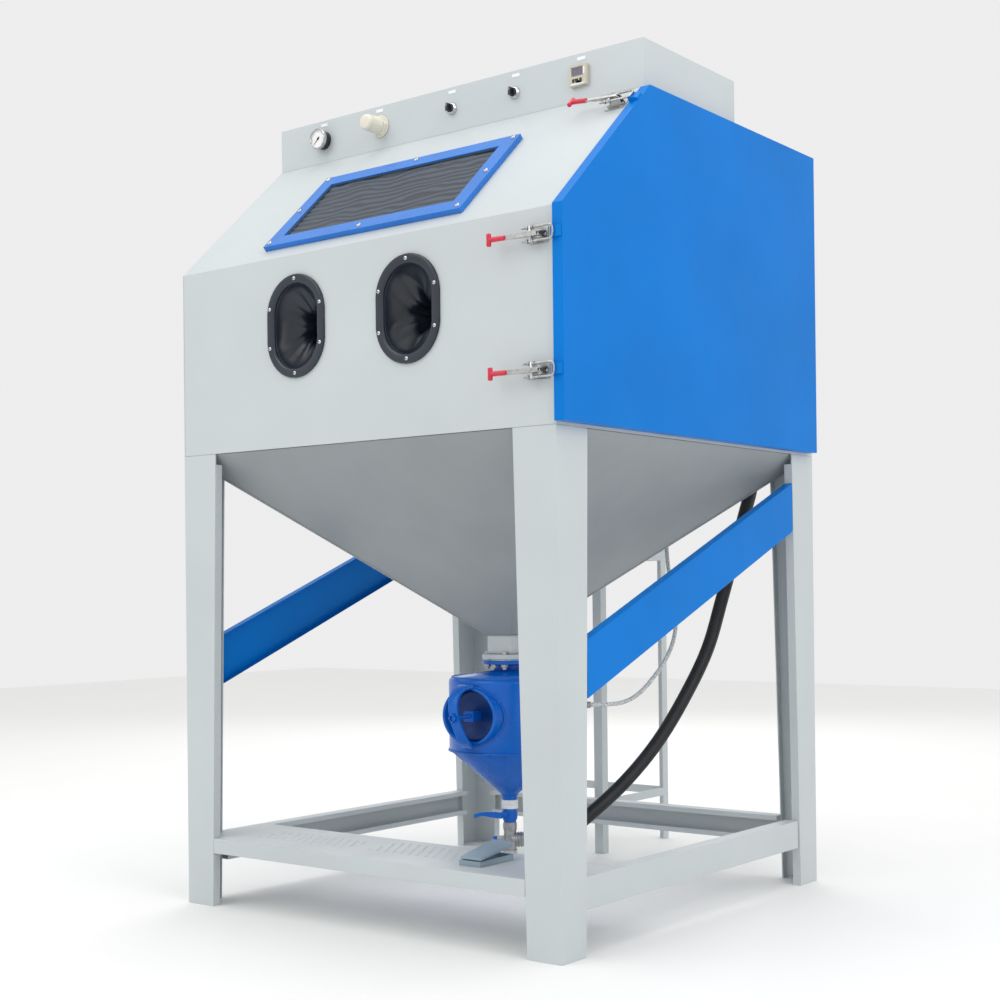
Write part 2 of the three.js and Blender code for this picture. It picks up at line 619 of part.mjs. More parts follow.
function buildRegulator() {
  const x = -226;
  const nut = turned([[0, GAP], [29, GAP], [29, 5], [0, 5]], x, 16);
  const hex = turned([[0, 4], [27, 4], [27, 12], [0, 12]], x, 6);
  addMesh("regulator_body", union(nut, hex), "cream");
  const knob = [[0, 12.4], [22, 12.4], [22.5, 20], [21, 56], [19, 61], [14, 64], [0, 64]];
  addMesh("regulator_knob", turned(knob, x, 16), "cream");
}

function buildSwitches() {
  SWITCH_X.forEach((x, i) => {
    const knob = turned([[0, 8.4], [11, 8.4], [10, 14], [0, 14]], x, 10);
    const grip = box(x - 3.5, FACE_Y - 24, PANEL_Z - 10, x + 3.5, FACE_Y - 13, PANEL_Z + 10);
    addMesh(`switch_knob_${i + 1}`, union(knob, grip), "black");
  });
}

function buildTimer() {
  const x = 421;
  const half = 25;
  const front = FACE_Y - 12;
  const body = box(x - half, front, PANEL_Z - half, x + half, FACE_Y, PANEL_Z + half);
  const display = box(x - 19, front - 1, PANEL_Z - 1, x + 14, front + 2, PANEL_Z + 20);
  const keyZ = PANEL_Z - 12;
  const sockets = [];
  for (let i = 0; i < 3; i += 1) {
    const keyX = x - 13 + i * 10.5;
    sockets.push(box(keyX - 3, front - 1, keyZ - 4, keyX + 3, front + 4, keyZ + 4));
    const key = box(keyX - 2.6, front - 1.6, keyZ - 3.6, keyX + 2.6, front + 2.4, keyZ + 3.6);
    addMesh(`timer_key_${i + 1}`, key, "black");
  }
  addMesh("timer_case", cut(body, display, ...sockets), "cream");
}

// ---- Pressure pot -----------------------------------------------------------------------
function buildPot() {
  const w = POT_WALL;
  const neck = 30;
  const outer = [
    [0, POT_OUTLET_Z], [20, POT_OUTLET_Z], [20, POT_OUTLET_Z + 12], [POT_R, POT_SEAM_Z], [POT_R, POT_SHOULDER_Z],
    [POT_R - 8, POT_SHOULDER_Z + 6], [neck + 5, POT_SHOULDER_Z + 22], [neck + 5, POT_FLANGE_TOP_Z - 10],
    [FLANGE_R, POT_FLANGE_TOP_Z - 10], [FLANGE_R, POT_FLANGE_TOP_Z], [0, POT_FLANGE_TOP_Z],
  ];
  const inner = [
    [0, POT_OUTLET_Z - 5], [14, POT_OUTLET_Z - 5], [14, POT_OUTLET_Z + 12], [POT_R - w, POT_SEAM_Z + w],
    [POT_R - w, POT_SHOULDER_Z - 2], [neck, POT_SHOULDER_Z + 16], [neck, POT_FLANGE_TOP_Z + 5],
    [0, POT_FLANGE_TOP_Z + 5],
  ];
  const ring = oval(HAND_RING.outer, -POT_R - 12, -POT_R + 60);
  const bore = oval(HAND_RING.inner, -POT_R - 40, -60);
  const bolts = flangeBolts(BOLT_R + GAP, POT_FLANGE_TOP_Z - 20, POT_FLANGE_TOP_Z + 5);
  const stub = rod(airInletPoint(POT_R - 2), airInletPoint(AIR_STUB_R), 9, 8);
  const body = cut(union(lathe(outer, 24), ring, stub), lathe(inner, 24), bore, ...bolts);
  const bar = rod([4 - POT_R, 0, GUIDE_Z], [POT_R - 4, 0, GUIDE_Z], 6, 8);
  const guide = lathe([[0, GUIDE_Z - 12], [9, GUIDE_Z - 12], [9, VALVE_REST_Z], [0, VALVE_REST_Z]], 12);
  const guideBore = rod([0, 0, GUIDE_Z - 20], [0, 0, VALVE_REST_Z + 5], 4.5, 12);
  addMesh("pot_shell", cut(union(body, bar, guide), guideBore).translate(0, MID_Y, 0), "potBlue");
}

// The air inlet stands out of the pot's rear right side; points are measured from the pot's axis.
const AIR_STUB_R = 205;
const AIR_STUB_Z = 495;

function airInletPoint(radius) {
  return [radius * Math.SQRT1_2, radius * Math.SQRT1_2, AIR_STUB_Z];
}

// The filling valve's stem slides in a guide on a bar across the pot. It lies on the guide until
// pressure lifts it against the neck.
const GUIDE_Z = 494;
const VALVE_REST_Z = 558;

// The hand hole is an upright-mounted oval, wider than high, facing the operator.
const HAND_RING = { outer: [88, 75], inner: [80, 67] };

// An elliptical cylinder along Y at the hand hole, before the pot is moved to its place.
function oval([halfX, halfZ], y0, y1, sides = 20) {
  const geometry = new THREE.CylinderGeometry(1, 1, y1 - y0, sides);
  return geometry.scale(halfX, 1, halfZ).translate(0, (y0 + y1) / 2, HAND_HOLE_Z);
}

function buildHandHole() {
  const coverY = -POT_R + 12;
  const cover = oval([78, 65], coverY, coverY + 6);
  const lug = box(-16, coverY - 26, HAND_HOLE_Z - 14, 16, coverY + 2, HAND_HOLE_Z + 14);
  const stud = rod([0, coverY, HAND_HOLE_Z], [0, -POT_R - 78, HAND_HOLE_Z], 6);
  addMesh("hand_hole_cover", union(cover, lug, stud).translate(0, MID_Y, 0), "potBlue");
  const front = -POT_R - 12 - GAP;
  const arch = [];
  const span = 72;
  const bulge = 44;
  for (let i = 0; i <= 8; i += 1) {
    const angle = (Math.PI * i) / 8;
    arch.push([front - 12 - bulge * Math.sin(angle), HAND_HOLE_Z - span * Math.cos(angle)]);
  }
  const back = arch.map(([y, z]) => [y + 12, HAND_HOLE_Z + (z - HAND_HOLE_Z) * 0.999]).reverse();
  const strap = slabX([...arch, ...back], -20, 20);
  const hole = rod([0, -POT_R - 90, HAND_HOLE_Z], [0, -POT_R, HAND_HOLE_Z], 6.6);
  addMesh("hand_hole_yoke", cut(strap, hole).translate(0, MID_Y, 0), "potBlue");
  const nutY = front - 12 - bulge - GAP;
  const nut = cut(
    rod([0, nutY - 12, HAND_HOLE_Z], [0, nutY, HAND_HOLE_Z], 13, 4),
    rod([0, nutY - 20, HAND_HOLE_Z], [0, nutY + 5, HAND_HOLE_Z], 6.8));
  addMesh("hand_hole_nut", nut.translate(0, MID_Y, 0), "potBlue");
}

const LEVER_Z = 208; // grit valve lever
const LEVER_PLANE = 44;

function buildPotFittings() {
  const plug = [[0, -70], [4, -70], [4, 0], [26, 0], [33, 4], [8, 24], [0, 24]];
  addMesh("popup_valve", lathe(plug, 12).translate(0, MID_Y, VALVE_REST_Z + GAP), "rubber");
  const ring = lathe([[0, 222], [22, 222], [22, POT_OUTLET_Z - GAP], [0, POT_OUTLET_Z - GAP]], 16);
  const body = lathe([[0, 186], [17, 186], [20, 196], [20, 224], [0, 224]], 16);
  const stem = rod([0, -LEVER_PLANE, LEVER_Z], [0, 0, LEVER_Z], 8, 10);
  addMesh("grit_valve", union(ring, body, stem).translate(0, MID_Y, 0), "potBlue");
  const handle = slabY([[9, -8], [9, 8], [-10, 9], [-60, 4], [-86, -4], [-84, -13], [-58, -6], [-10, -8]],
    -LEVER_PLANE - 5, -LEVER_PLANE - GAP);
  addMesh("grit_valve_lever", handle.translate(0, MID_Y, LEVER_Z), "potBlue");
  const tee = union(
    rod([0, 0, 108], [0, 0, 186 - GAP], 17, 12),
    rod([-40, -24, 138], [0, 0, 138], 12, 8),
    rod([0, 0, 138], [34, 34, 138], 19, 12),
    rod([30, 30, 138], [50, 50, 138], 22, 12),
    lathe([[0, 96], [21, 96], [21, 112], [0, 112]], 12),
  );
  addMesh("mixing_tee", tee.translate(0, MID_Y, 0), "zinc");
}

// ---- Foot pedal ------------------------------------------------------------------------
const PEDAL = { x: 300, y: 58, width: 62, length: 126, low: RAIL_TOP_Z + GAP };

function buildPedal() {
  const { x, y, width, length, low } = PEDAL;
  const half = width / 2;
  const wedge = [[0, 0], [length, 0], [length, 14], [6, 12], [0, 12]];
  const base = slabX(wedge.map(([a, b]) => [y + a, low + b]), x - half, x + half);
  const well = slabX([[8, 6], [length - 6, 6], [length - 6, 40], [8, 40]].map(([a, b]) => [y + a, low + b]),
    x - half + 4, x + half - 4);
  addMesh("pedal_base", cut(base, well), "pedal");
  const top = [[3, 14], [length - 2, 32], [length - 2, 44], [4, 20]];
  const treadle = slabX(top.map(([a, b]) => [y + a, low + b]), x - half, x + half);
  addMesh("pedal_treadle", treadle, "pedal");
}

// ---- Hoses -------------------------------------------------------------------------------
const BLAST_HOSE = [
  [50.3, 650.3, 138], [62, 662, 138], [78, 678, 141], [100, 701, 151], [124, 726, 169], [149, 752, 195],
  [200, 851, 277], [249, 946, 382], [292, 1030, 511], [325, 1094, 636], [348, 1138, 777], [369, 1180, 917],
  [385, 1210, 1022], [394, 1228, 1085], [399, 1239, 1160], [400, 1244, 1240], [400, 1245, 1305],
  BLAST_PORT,
];
const AIR_HOSE = [
  [145.2, 745.2, 495], [160, 760, 495], [174, 780, 494.5], [188, 808, 494.5], [201, 846, 497], [212, 880, 507],
  [222, 912, 525], [231, 952, 556], [240, 992, 594], [244, 1031, 640], [238, 1064, 685], [224, 1090, 732],
  [204, 1107, 790], [185, 1120, 850], [165, 1141, 925], [151, 1168, 1000], [140, 1197, 1075],
  [133, 1219, 1135], [130, 1228, 1175], AIR_PORT,
];

function buildHoses() {
  addMesh("blast_hose", tube(BLAST_HOSE, 18.5, 22, 8), "rubber");
  addMesh("air_hose", tube(AIR_HOSE, 6, 34, 8), "clear");
}

// ---- Inside the cabinet ---------------------------------------------------------------------
function buildInterior() {
  const half = HALF_W - 8;
  const frame = cut(box(-half, 8, 1172, half, DEPTH - 8, 1192), box(-half + 16, 24, 1160, half - 16, DEPTH - 24, 1200));
  const bars = [];
  for (let i = 1; i < 12; i += 1) {
    const x = -half + (i * 2 * half) / 12;
    bars.push(box(x - 4, 12, 1176, x + 4, DEPTH - 12, 1188));
  }
  addMesh("work_grate", union(frame, ...bars), "steel");
  const gun = union(
    rod([60, 700, 1230], [60, 560, 1230], 16),
    rod([60, 565, 1230], [60, 500, 1230], 11),
    rod([60, 690, 1194], [60, 690, 1232], 12),
    tube([[60, 690, 1230], [60, 760, 1230], [120, 900, 1222], [260, 1060, 1260], [380, 1150, 1370],
      [400, 1180, 1397], [400, DEPTH - SHEET - GAP, 1397]], 15, 14, 8),
  );
  addMesh("blast_gun", gun, "steel");
  const lamp = union(box(-280, 800, 1930, 280, 880, ROOF_Z - SHEET - GAP), rod([-260, 840, 1922], [260, 840, 1922], 14));
  addMesh("cabinet_lamp", lamp, "white");
}

// ---- Dust collector behind the cabinet ---------------------------------------------------------
const COLLECTOR = { x0: -580, x1: -125, y0: 1225, y1: 1600, low: 925, top: 1900 };
const DUCT = { x: -350, z: 1700, r: 70 };

function buildCollector() {
  const { x0, x1, y0, y1, low, top } = COLLECTOR;
  const posts = [];
  for (const [x, sx] of [[x0, 1], [x1, -1]]) {
    for (const [y, sy] of [[y0, 1], [y1, -1]]) {
      const angle = [[0, 0], [30, 0], [30, 4], [4, 4], [4, 30], [0, 30]].map(([a, b]) => [x + a * sx, y + b * sy]);
      posts.push(slabZ(sx * sy > 0 ? angle : angle.reverse(), 0, low - GAP));
    }
  }
  const ties = [];
  for (const z of [140, low - 30]) {
    ties.push(box(x0, y0, z, x1, y0 + 4, z + 25), box(x0, y1 - 4, z, x1, y1, z + 25));
    ties.push(box(x0, y0, z, x0 + 4, y1, z + 25), box(x1 - 4, y0, z, x1, y1, z + 25));
  }
  addMesh("collector_stand", union(...posts, ...ties), "grey");
  const shell = box(x0, y0, low, x1, y1, top);
  const room = box(x0 + SHEET, y0 + SHEET, low + SHEET, x1 - SHEET, y1 - SHEET, top - SHEET);
  const duct = rod([DUCT.x, DEPTH + GAP, DUCT.z], [DUCT.x, y0 + 1, DUCT.z], DUCT.r + SHEET, 20);
  const bore = rod([DUCT.x, DEPTH - 5, DUCT.z], [DUCT.x, y0 + 10, DUCT.z], DUCT.r, 20);
  const outlet = [];
  for (let i = 0; i < 5; i += 1) {
    const y = y0 + 100 + i * 40;
    outlet.push(box(x0 + 110, y, top - 10, x1 - 110, y + 18, top + 10));
  }
  addMesh("collector_housing", cut(union(shell, duct), room, bore, ...outlet), "grey");
}

buildLegs();
buildBase();
buildBraces();
buildShell();
buildHopper();
buildHopperNeck();
buildFlangeJoint();
buildDoor();
buildHinges();
buildLatches();
buildWindow();
buildPorts();
buildGauge();
buildRegulator();
buildSwitches();
buildTimer();
buildPot();
buildHandHole();
buildPotFittings();
buildPedal();
buildHoses();
buildInterior();
buildCollector();

// Stand the origin under the middle of the object's box, leaving the hoses out of it.
const bounds = new THREE.Box3();
for (const mesh of part.children) {
  if (!mesh.name.endsWith("_hose")) {
    bounds.expandByObject(mesh);
  }
}
const centre = bounds.getCenter(new THREE.Vector3());
part.position.set(-centre.x, -centre.y, -bounds.min.z);

export default part;
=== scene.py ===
"""Looks of a pressure-pot sandblast cabinet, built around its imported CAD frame.

Lengths below are in millimetres from the middle of the cabinet's front edge on the floor: X towards the door,
Y towards the back, Z up. at() turns them into the frame's metres.
"""

import json
import math

import bmesh
import bpy
from mathutils import Matrix, Vector, noise

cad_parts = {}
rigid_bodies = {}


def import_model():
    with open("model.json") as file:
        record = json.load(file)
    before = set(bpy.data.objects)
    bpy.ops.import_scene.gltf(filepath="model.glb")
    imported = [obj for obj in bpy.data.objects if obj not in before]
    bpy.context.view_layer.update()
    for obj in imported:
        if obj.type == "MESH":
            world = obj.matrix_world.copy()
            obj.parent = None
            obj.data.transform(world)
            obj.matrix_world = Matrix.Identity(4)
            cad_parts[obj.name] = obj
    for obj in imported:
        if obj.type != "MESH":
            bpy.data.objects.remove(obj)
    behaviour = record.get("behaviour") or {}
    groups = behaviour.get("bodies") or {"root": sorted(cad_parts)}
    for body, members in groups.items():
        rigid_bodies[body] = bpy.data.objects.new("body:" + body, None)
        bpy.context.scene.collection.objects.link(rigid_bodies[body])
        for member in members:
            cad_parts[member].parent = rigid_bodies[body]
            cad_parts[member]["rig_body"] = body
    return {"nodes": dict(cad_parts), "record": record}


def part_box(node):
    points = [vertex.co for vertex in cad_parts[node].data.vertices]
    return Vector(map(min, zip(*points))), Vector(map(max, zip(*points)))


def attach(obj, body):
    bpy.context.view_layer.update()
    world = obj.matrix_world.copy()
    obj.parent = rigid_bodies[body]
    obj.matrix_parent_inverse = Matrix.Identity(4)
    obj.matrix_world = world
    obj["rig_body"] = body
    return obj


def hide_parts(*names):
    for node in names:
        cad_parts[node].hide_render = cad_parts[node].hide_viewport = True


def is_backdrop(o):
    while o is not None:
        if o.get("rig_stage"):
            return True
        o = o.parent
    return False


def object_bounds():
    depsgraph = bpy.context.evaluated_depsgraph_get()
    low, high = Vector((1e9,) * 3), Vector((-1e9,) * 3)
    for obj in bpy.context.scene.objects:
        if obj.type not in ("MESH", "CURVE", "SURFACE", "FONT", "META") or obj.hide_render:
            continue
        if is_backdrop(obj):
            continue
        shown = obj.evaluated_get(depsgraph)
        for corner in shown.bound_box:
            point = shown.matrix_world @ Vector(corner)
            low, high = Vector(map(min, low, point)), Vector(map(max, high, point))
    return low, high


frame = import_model()
CAD_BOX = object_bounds()
NODES = frame["nodes"]

MM = 0.001
PANEL_LOW, PANEL_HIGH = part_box("front_panel")
ORIGIN = Vector(((PANEL_LOW.x + PANEL_HIGH.x) / 2, PANEL_LOW.y, 0))
X, Y, Z = Vector((1, 0, 0)), Vector((0, 1, 0)), Vector((0, 0, 1))

# The cabinet's driving dimensions.
DEPTH = 1200
MID_Y = DEPTH / 2
BREAK_Z = 1638
SLOPE_Y = 364
ROOF_Z = 1981
PANEL_Z = 2041
SLOPE_UP = Vector((0, SLOPE_Y, ROOF_Z - BREAK_Z)).normalized()
SLOPE_OUT = X.cross(SLOPE_UP)
STEP_Z = 175


def at(x, y, z):
    """A point of the cabinet in the frame, in metres."""
    return ORIGIN + Vector((x, y, z)) * MM


def basis(x, y, z, right, up, out):
    """A local frame in millimetres, placed at a point of the cabinet."""
    turn = Matrix((right, up, out)).transposed().to_4x4()
    return Matrix.Translation(at(x, y, z)) @ turn @ Matrix.Scale(MM, 4)


WORLD = basis(0, 0, 0, X, Y, Z)


def front(x, z, y=0):
    """On an upright face towards the operator: right, up, out of the face."""
    return basis(x, y, z, X, Z, -Y)


def slope(x, along):
    """On the sloping window panel: right, up the slope, out of it."""
    foot = Vector((x, 0, BREAK_Z)) + SLOPE_UP * along
    return basis(*foot, X, SLOPE_UP, SLOPE_OUT)


# ---- Camera --------------------------------------------------------------------------
CAMERA_AT = (2587, -2751.6, 815)
CAMERA_AZIMUTH, CAMERA_ELEVATION, CAMERA_ROLL = 37.93, -0.24, -0.62
SENSOR = 36
PICTURE_SIDE, FOCAL_PIXELS = 1000, 1578.1
FOCAL = FOCAL_PIXELS / PICTURE_SIDE * SENSOR
SHIFT_UP = 0.0805


def add_object(name, data):
    made = bpy.data.objects.new(name, data)
    bpy.context.scene.collection.objects.link(made)
    return made


def make_camera():
    data = bpy.data.cameras.new("camera")
    camera = add_object("camera", data)
    azimuth, elevation = math.radians(CAMERA_AZIMUTH), math.radians(CAMERA_ELEVATION)
    flat = math.cos(elevation)
    back = Vector((math.sin(azimuth) * flat, -math.cos(azimuth) * flat, math.sin(elevation)))
    camera.location = at(*CAMERA_AT)
    aim = (-back).to_track_quat("-Z", "Y").to_matrix()
    camera.rotation_euler = (aim @ Matrix.Rotation(math.radians(CAMERA_ROLL), 3, "Z")).to_euler()
    data.sensor_width = SENSOR
    data.lens = FOCAL
    data.shift_y = SHIFT_UP
    bpy.context.scene.camera = camera


make_camera()


# ---- Materials ------------------------------------------------------------------------
def linear(r, g, b):
    """A screen colour, 0 to 255, as the shader's linear colour."""
    channels = [c / 255 for c in (r, g, b)]
    return tuple(c / 12.92 if c <= 0.04045 else ((c + 0.055) / 1.055) ** 2.4 for c in channels) + (1,)


class Shader:
    """A Principled material with helpers for the noise that varies it."""

    def __init__(self, name, **settings):
        self.material = bpy.data.materials.new(name)
        self.material.use_nodes = True
        self.nodes = self.material.node_tree.nodes
        self.links = self.material.node_tree.links
        self.surface = self.nodes["Principled BSDF"]
        for socket, value in settings.items():
            self.surface.inputs[socket.replace("_", " ")].default_value = value
        self.place = self.nodes.new("ShaderNodeTexCoord").outputs["Object"]

    def stretched(self, *scale):
        mapping = self.nodes.new("ShaderNodeMapping")
        mapping.inputs["Scale"].default_value = scale
        self.links.new(self.place, mapping.inputs["Vector"])
        return mapping.outputs["Vector"]

    def noise(self, scale, detail=3, stretch=None):
        node = self.nodes.new("ShaderNodeTexNoise")
        node.inputs["Scale"].default_value = scale
        node.inputs["Detail"].default_value = detail
        vector = self.stretched(*stretch) if stretch else self.place
        self.links.new(vector, node.inputs["Vector"])
        return node.outputs["Fac"]

    def ramp(self, value, stops):
        node = self.nodes.new("ShaderNodeValToRGB")
        ramp = node.color_ramp
        for i, (spot, colour) in enumerate(stops):
            stop = ramp.elements[i] if i < 2 else ramp.elements.new(spot)
            stop.position, stop.color = spot, colour
        self.links.new(value, node.inputs["Fac"])
        return node.outputs["Color"]

    def spread(self, value, low, high):
        node = self.nodes.new("ShaderNodeMapRange")
        node.interpolation_type = "SMOOTHSTEP"
        node.inputs["From Min"].default_value, node.inputs["From Max"].default_value = 0.15, 0.85
        node.inputs["To Min"].default_value, node.inputs["To Max"].default_value = low, high
        self.links.new(value, node.inputs["Value"])
        return node.outputs["Result"]

    def colour(self, output):
        self.links.new(output, self.surface.inputs["Base Color"])
        return self

    def rough(self, output):
        self.links.new(output, self.surface.inputs["Roughness"])
        return self

    def bump(self, height, strength, distance):
        node = self.nodes.new("ShaderNodeBump")
        node.inputs["Strength"].default_value = strength
        node.inputs["Distance"].default_value = distance
        self.links.new(height, node.inputs["Height"])
        if self.surface.inputs["Normal"].is_linked:
            self.links.new(self.surface.inputs["Normal"].links[0].from_socket, node.inputs["Normal"])
        self.links.new(node.outputs["Normal"], self.surface.inputs["Normal"])
        return self


def shade(colour, factor):
    return tuple(min(1, c * factor) for c in colour[:3]) + (1,)


def finish(name, colour, rough=0.4, tone=0.05, grain=500, relief=0.2, waviness=0.0, patches=3, **settings):
    """A painted or moulded surface: slow tone drift, uneven gloss, a fine skin and slight waviness."""
    shader = Shader(name, **settings)
    drift = [(0.3, shade(colour, 1 - tone)), (0.7, shade(colour, 1 + tone))]
    shader.colour(shader.ramp(shader.noise(patches), drift))
    shader.rough(shader.spread(shader.noise(9, 4), rough - 0.06, rough + 0.07))
    if waviness:
        shader.bump(shader.noise(2.2, 1), waviness, 0.01)
    return shader.bump(shader.noise(grain, 2), relief, 0.0003).material


def metal(name, colour, rough, streak=(1, 1, 1), scratches=0.15):
    shader = Shader(name, Metallic=1.0)
    brushed = shader.noise(90, 5, streak)
    shader.colour(shader.ramp(brushed, [(0.35, shade(colour, 0.78)), (0.65, shade(colour, 1.1))]))
    shader.rough(shader.spread(shader.noise(40, 4), rough - 0.08, rough + 0.12))
    return shader.bump(brushed, scratches, 0.0002).material


def shaded_film_glass():
    """An opaque pane under a protective film that has rippled into wavy bands. Its dark colour is painted shade
    of the cabinet's inside behind the glass; the bands' bump and gloss are the film's ripples, their lighter
    colour is painted reflection.
    """
    shader = Shader("shaded_film_glass", Specular_IOR_Level=0.3)
    wave = shader.nodes.new("ShaderNodeTexWave")
    wave.bands_direction = "Y"
    wave.inputs["Scale"].default_value = 12
    wave.inputs["Distortion"].default_value = 9
    wave.inputs["Detail"].default_value = 1.5
    wave.inputs["Detail Scale"].default_value = 0.9
    shader.links.new(shader.stretched(0.75, 1.6, 0.4), wave.inputs["Vector"])
    bands = wave.outputs["Fac"]
    # Dark stop: painted shade of the cabinet's inside; light stop: painted reflection on the film's ripples.
    shader.colour(shader.ramp(bands, [(0.25, linear(24, 34, 46)), (0.75, linear(66, 78, 92))]))
    shader.rough(shader.spread(bands, 0.32, 0.45))
    return shader.bump(bands, 0.25, 0.002).material


def braided_tube():
    """Clear hose with a light woven reinforcement."""
    shader = Shader("braided_tube", Roughness=0.25, Coat_Weight=0.6)
    weave = shader.noise(260, 1)
    tint = [(0.42, linear(176, 184, 186)), (0.58, linear(222, 226, 226))]
    return shader.colour(shader.ramp(weave, tint)).bump(weave, 0.3, 0.0004).material


GREY = linear(194, 201, 203)
BLUE = linear(0, 117, 204)
POT_BLUE = linear(0, 98, 196)

grey_paint = finish("grey_paint", GREY, 0.42, 0.03, waviness=0.05)
hopper_paint = finish("hopper_paint", linear(150, 156, 158), 0.46, 0.05, patches=5, waviness=0.08)
blue_paint = finish("blue_paint", BLUE, 0.36, 0.06, waviness=0.04, Specular_IOR_Level=0.1)
frame_blue = finish("frame_blue", linear(38, 116, 204), 0.3, 0.08, patches=14, Specular_IOR_Level=0.35)
pot_blue = finish("pot_blue", POT_BLUE, 0.26, 0.09, grain=240, relief=0.3, patches=16, Specular_IOR_Level=0.35)
# Painted shade: a much darker copy of the pot's blue for the hand-hole cover, standing in for the shade inside
# the hand-hole ring.
shaded_lid_blue = finish("shaded_lid_blue", linear(8, 52, 112), 0.35, 0.2, patches=16, Specular_IOR_Level=0.3)
# Painted shade: a dark grey for the cross recesses of the window and port screws, which are raised bars rather
# than hollows.
recess_shade = finish("recess_shade", linear(96, 100, 100), 0.6, 0.1, patches=8)
zinc = metal("zinc", (0.5, 0.5, 0.49), 0.34)
cast_metal = metal("cast_metal", (0.4, 0.41, 0.42), 0.45, scratches=0.9)
chrome = metal("chrome", (0.62, 0.63, 0.65), 0.16, scratches=0.05)
grate_steel = metal("grate_steel", (0.42, 0.41, 0.4), 0.45, (1, 8, 1))
rubber = finish("rubber", linear(30, 31, 33), 0.5, 0.25, grain=320, relief=0.5, patches=22)
glove_rubber = finish("glove_rubber", linear(34, 40, 50), 0.34, 0.25, grain=260, relief=0.6, patches=14)
black_plastic = finish("black_plastic", linear(26, 27, 29), 0.38, 0.15, grain=700, relief=0.25)
port_plastic = finish("port_plastic", linear(36, 43, 54), 0.3, 0.15, grain=700, relief=0.25)
red_grip = finish("red_grip", linear(206, 30, 62), 0.35, 0.12, grain=400, patches=60, Coat_Weight=0.2)
cream = finish("cream", linear(226, 221, 204), 0.42, 0.04, grain=600, patches=40)
beige = finish("beige", linear(196, 188, 170), 0.45, 0.05, grain=600, patches=40)
white_plastic = finish("white_plastic", linear(232, 234, 234), 0.4, 0.03, grain=600, patches=30)
label_white = finish("label_white", linear(238, 240, 242), 0.35, 0.02, grain=900, patches=60)
dial_white = finish("dial_white", linear(240, 240, 238), 0.5, 0.02, patches=60)
display_dark = finish("display_dark", linear(22, 24, 48), 0.16, 0.2, patches=70, Coat_Weight=1.0)
digit_red = finish("digit_red", linear(112, 84, 140), 0.4, 0.2, patches=90)
pedal_plastic = finish("pedal_plastic", linear(140, 158, 172), 0.45, 0.08, grain=380, relief=0.4, patches=24)
pane = shaded_film_glass()
clear_hose = braided_tube()

FINISH = {
    "grey_paint": grey_paint, "hopper_paint": hopper_paint, "blue_paint": blue_paint, "pot_blue": pot_blue,
    "zinc": zinc, "steel": grate_steel, "black_plastic": black_plastic, "black_rubber": rubber,
    "cream_plastic": cream, "timer_plastic": beige, "window_glass": pane, "pedal_plastic": pedal_plastic,
    "white_plastic": white_plastic, "clear_hose": clear_hose,
}


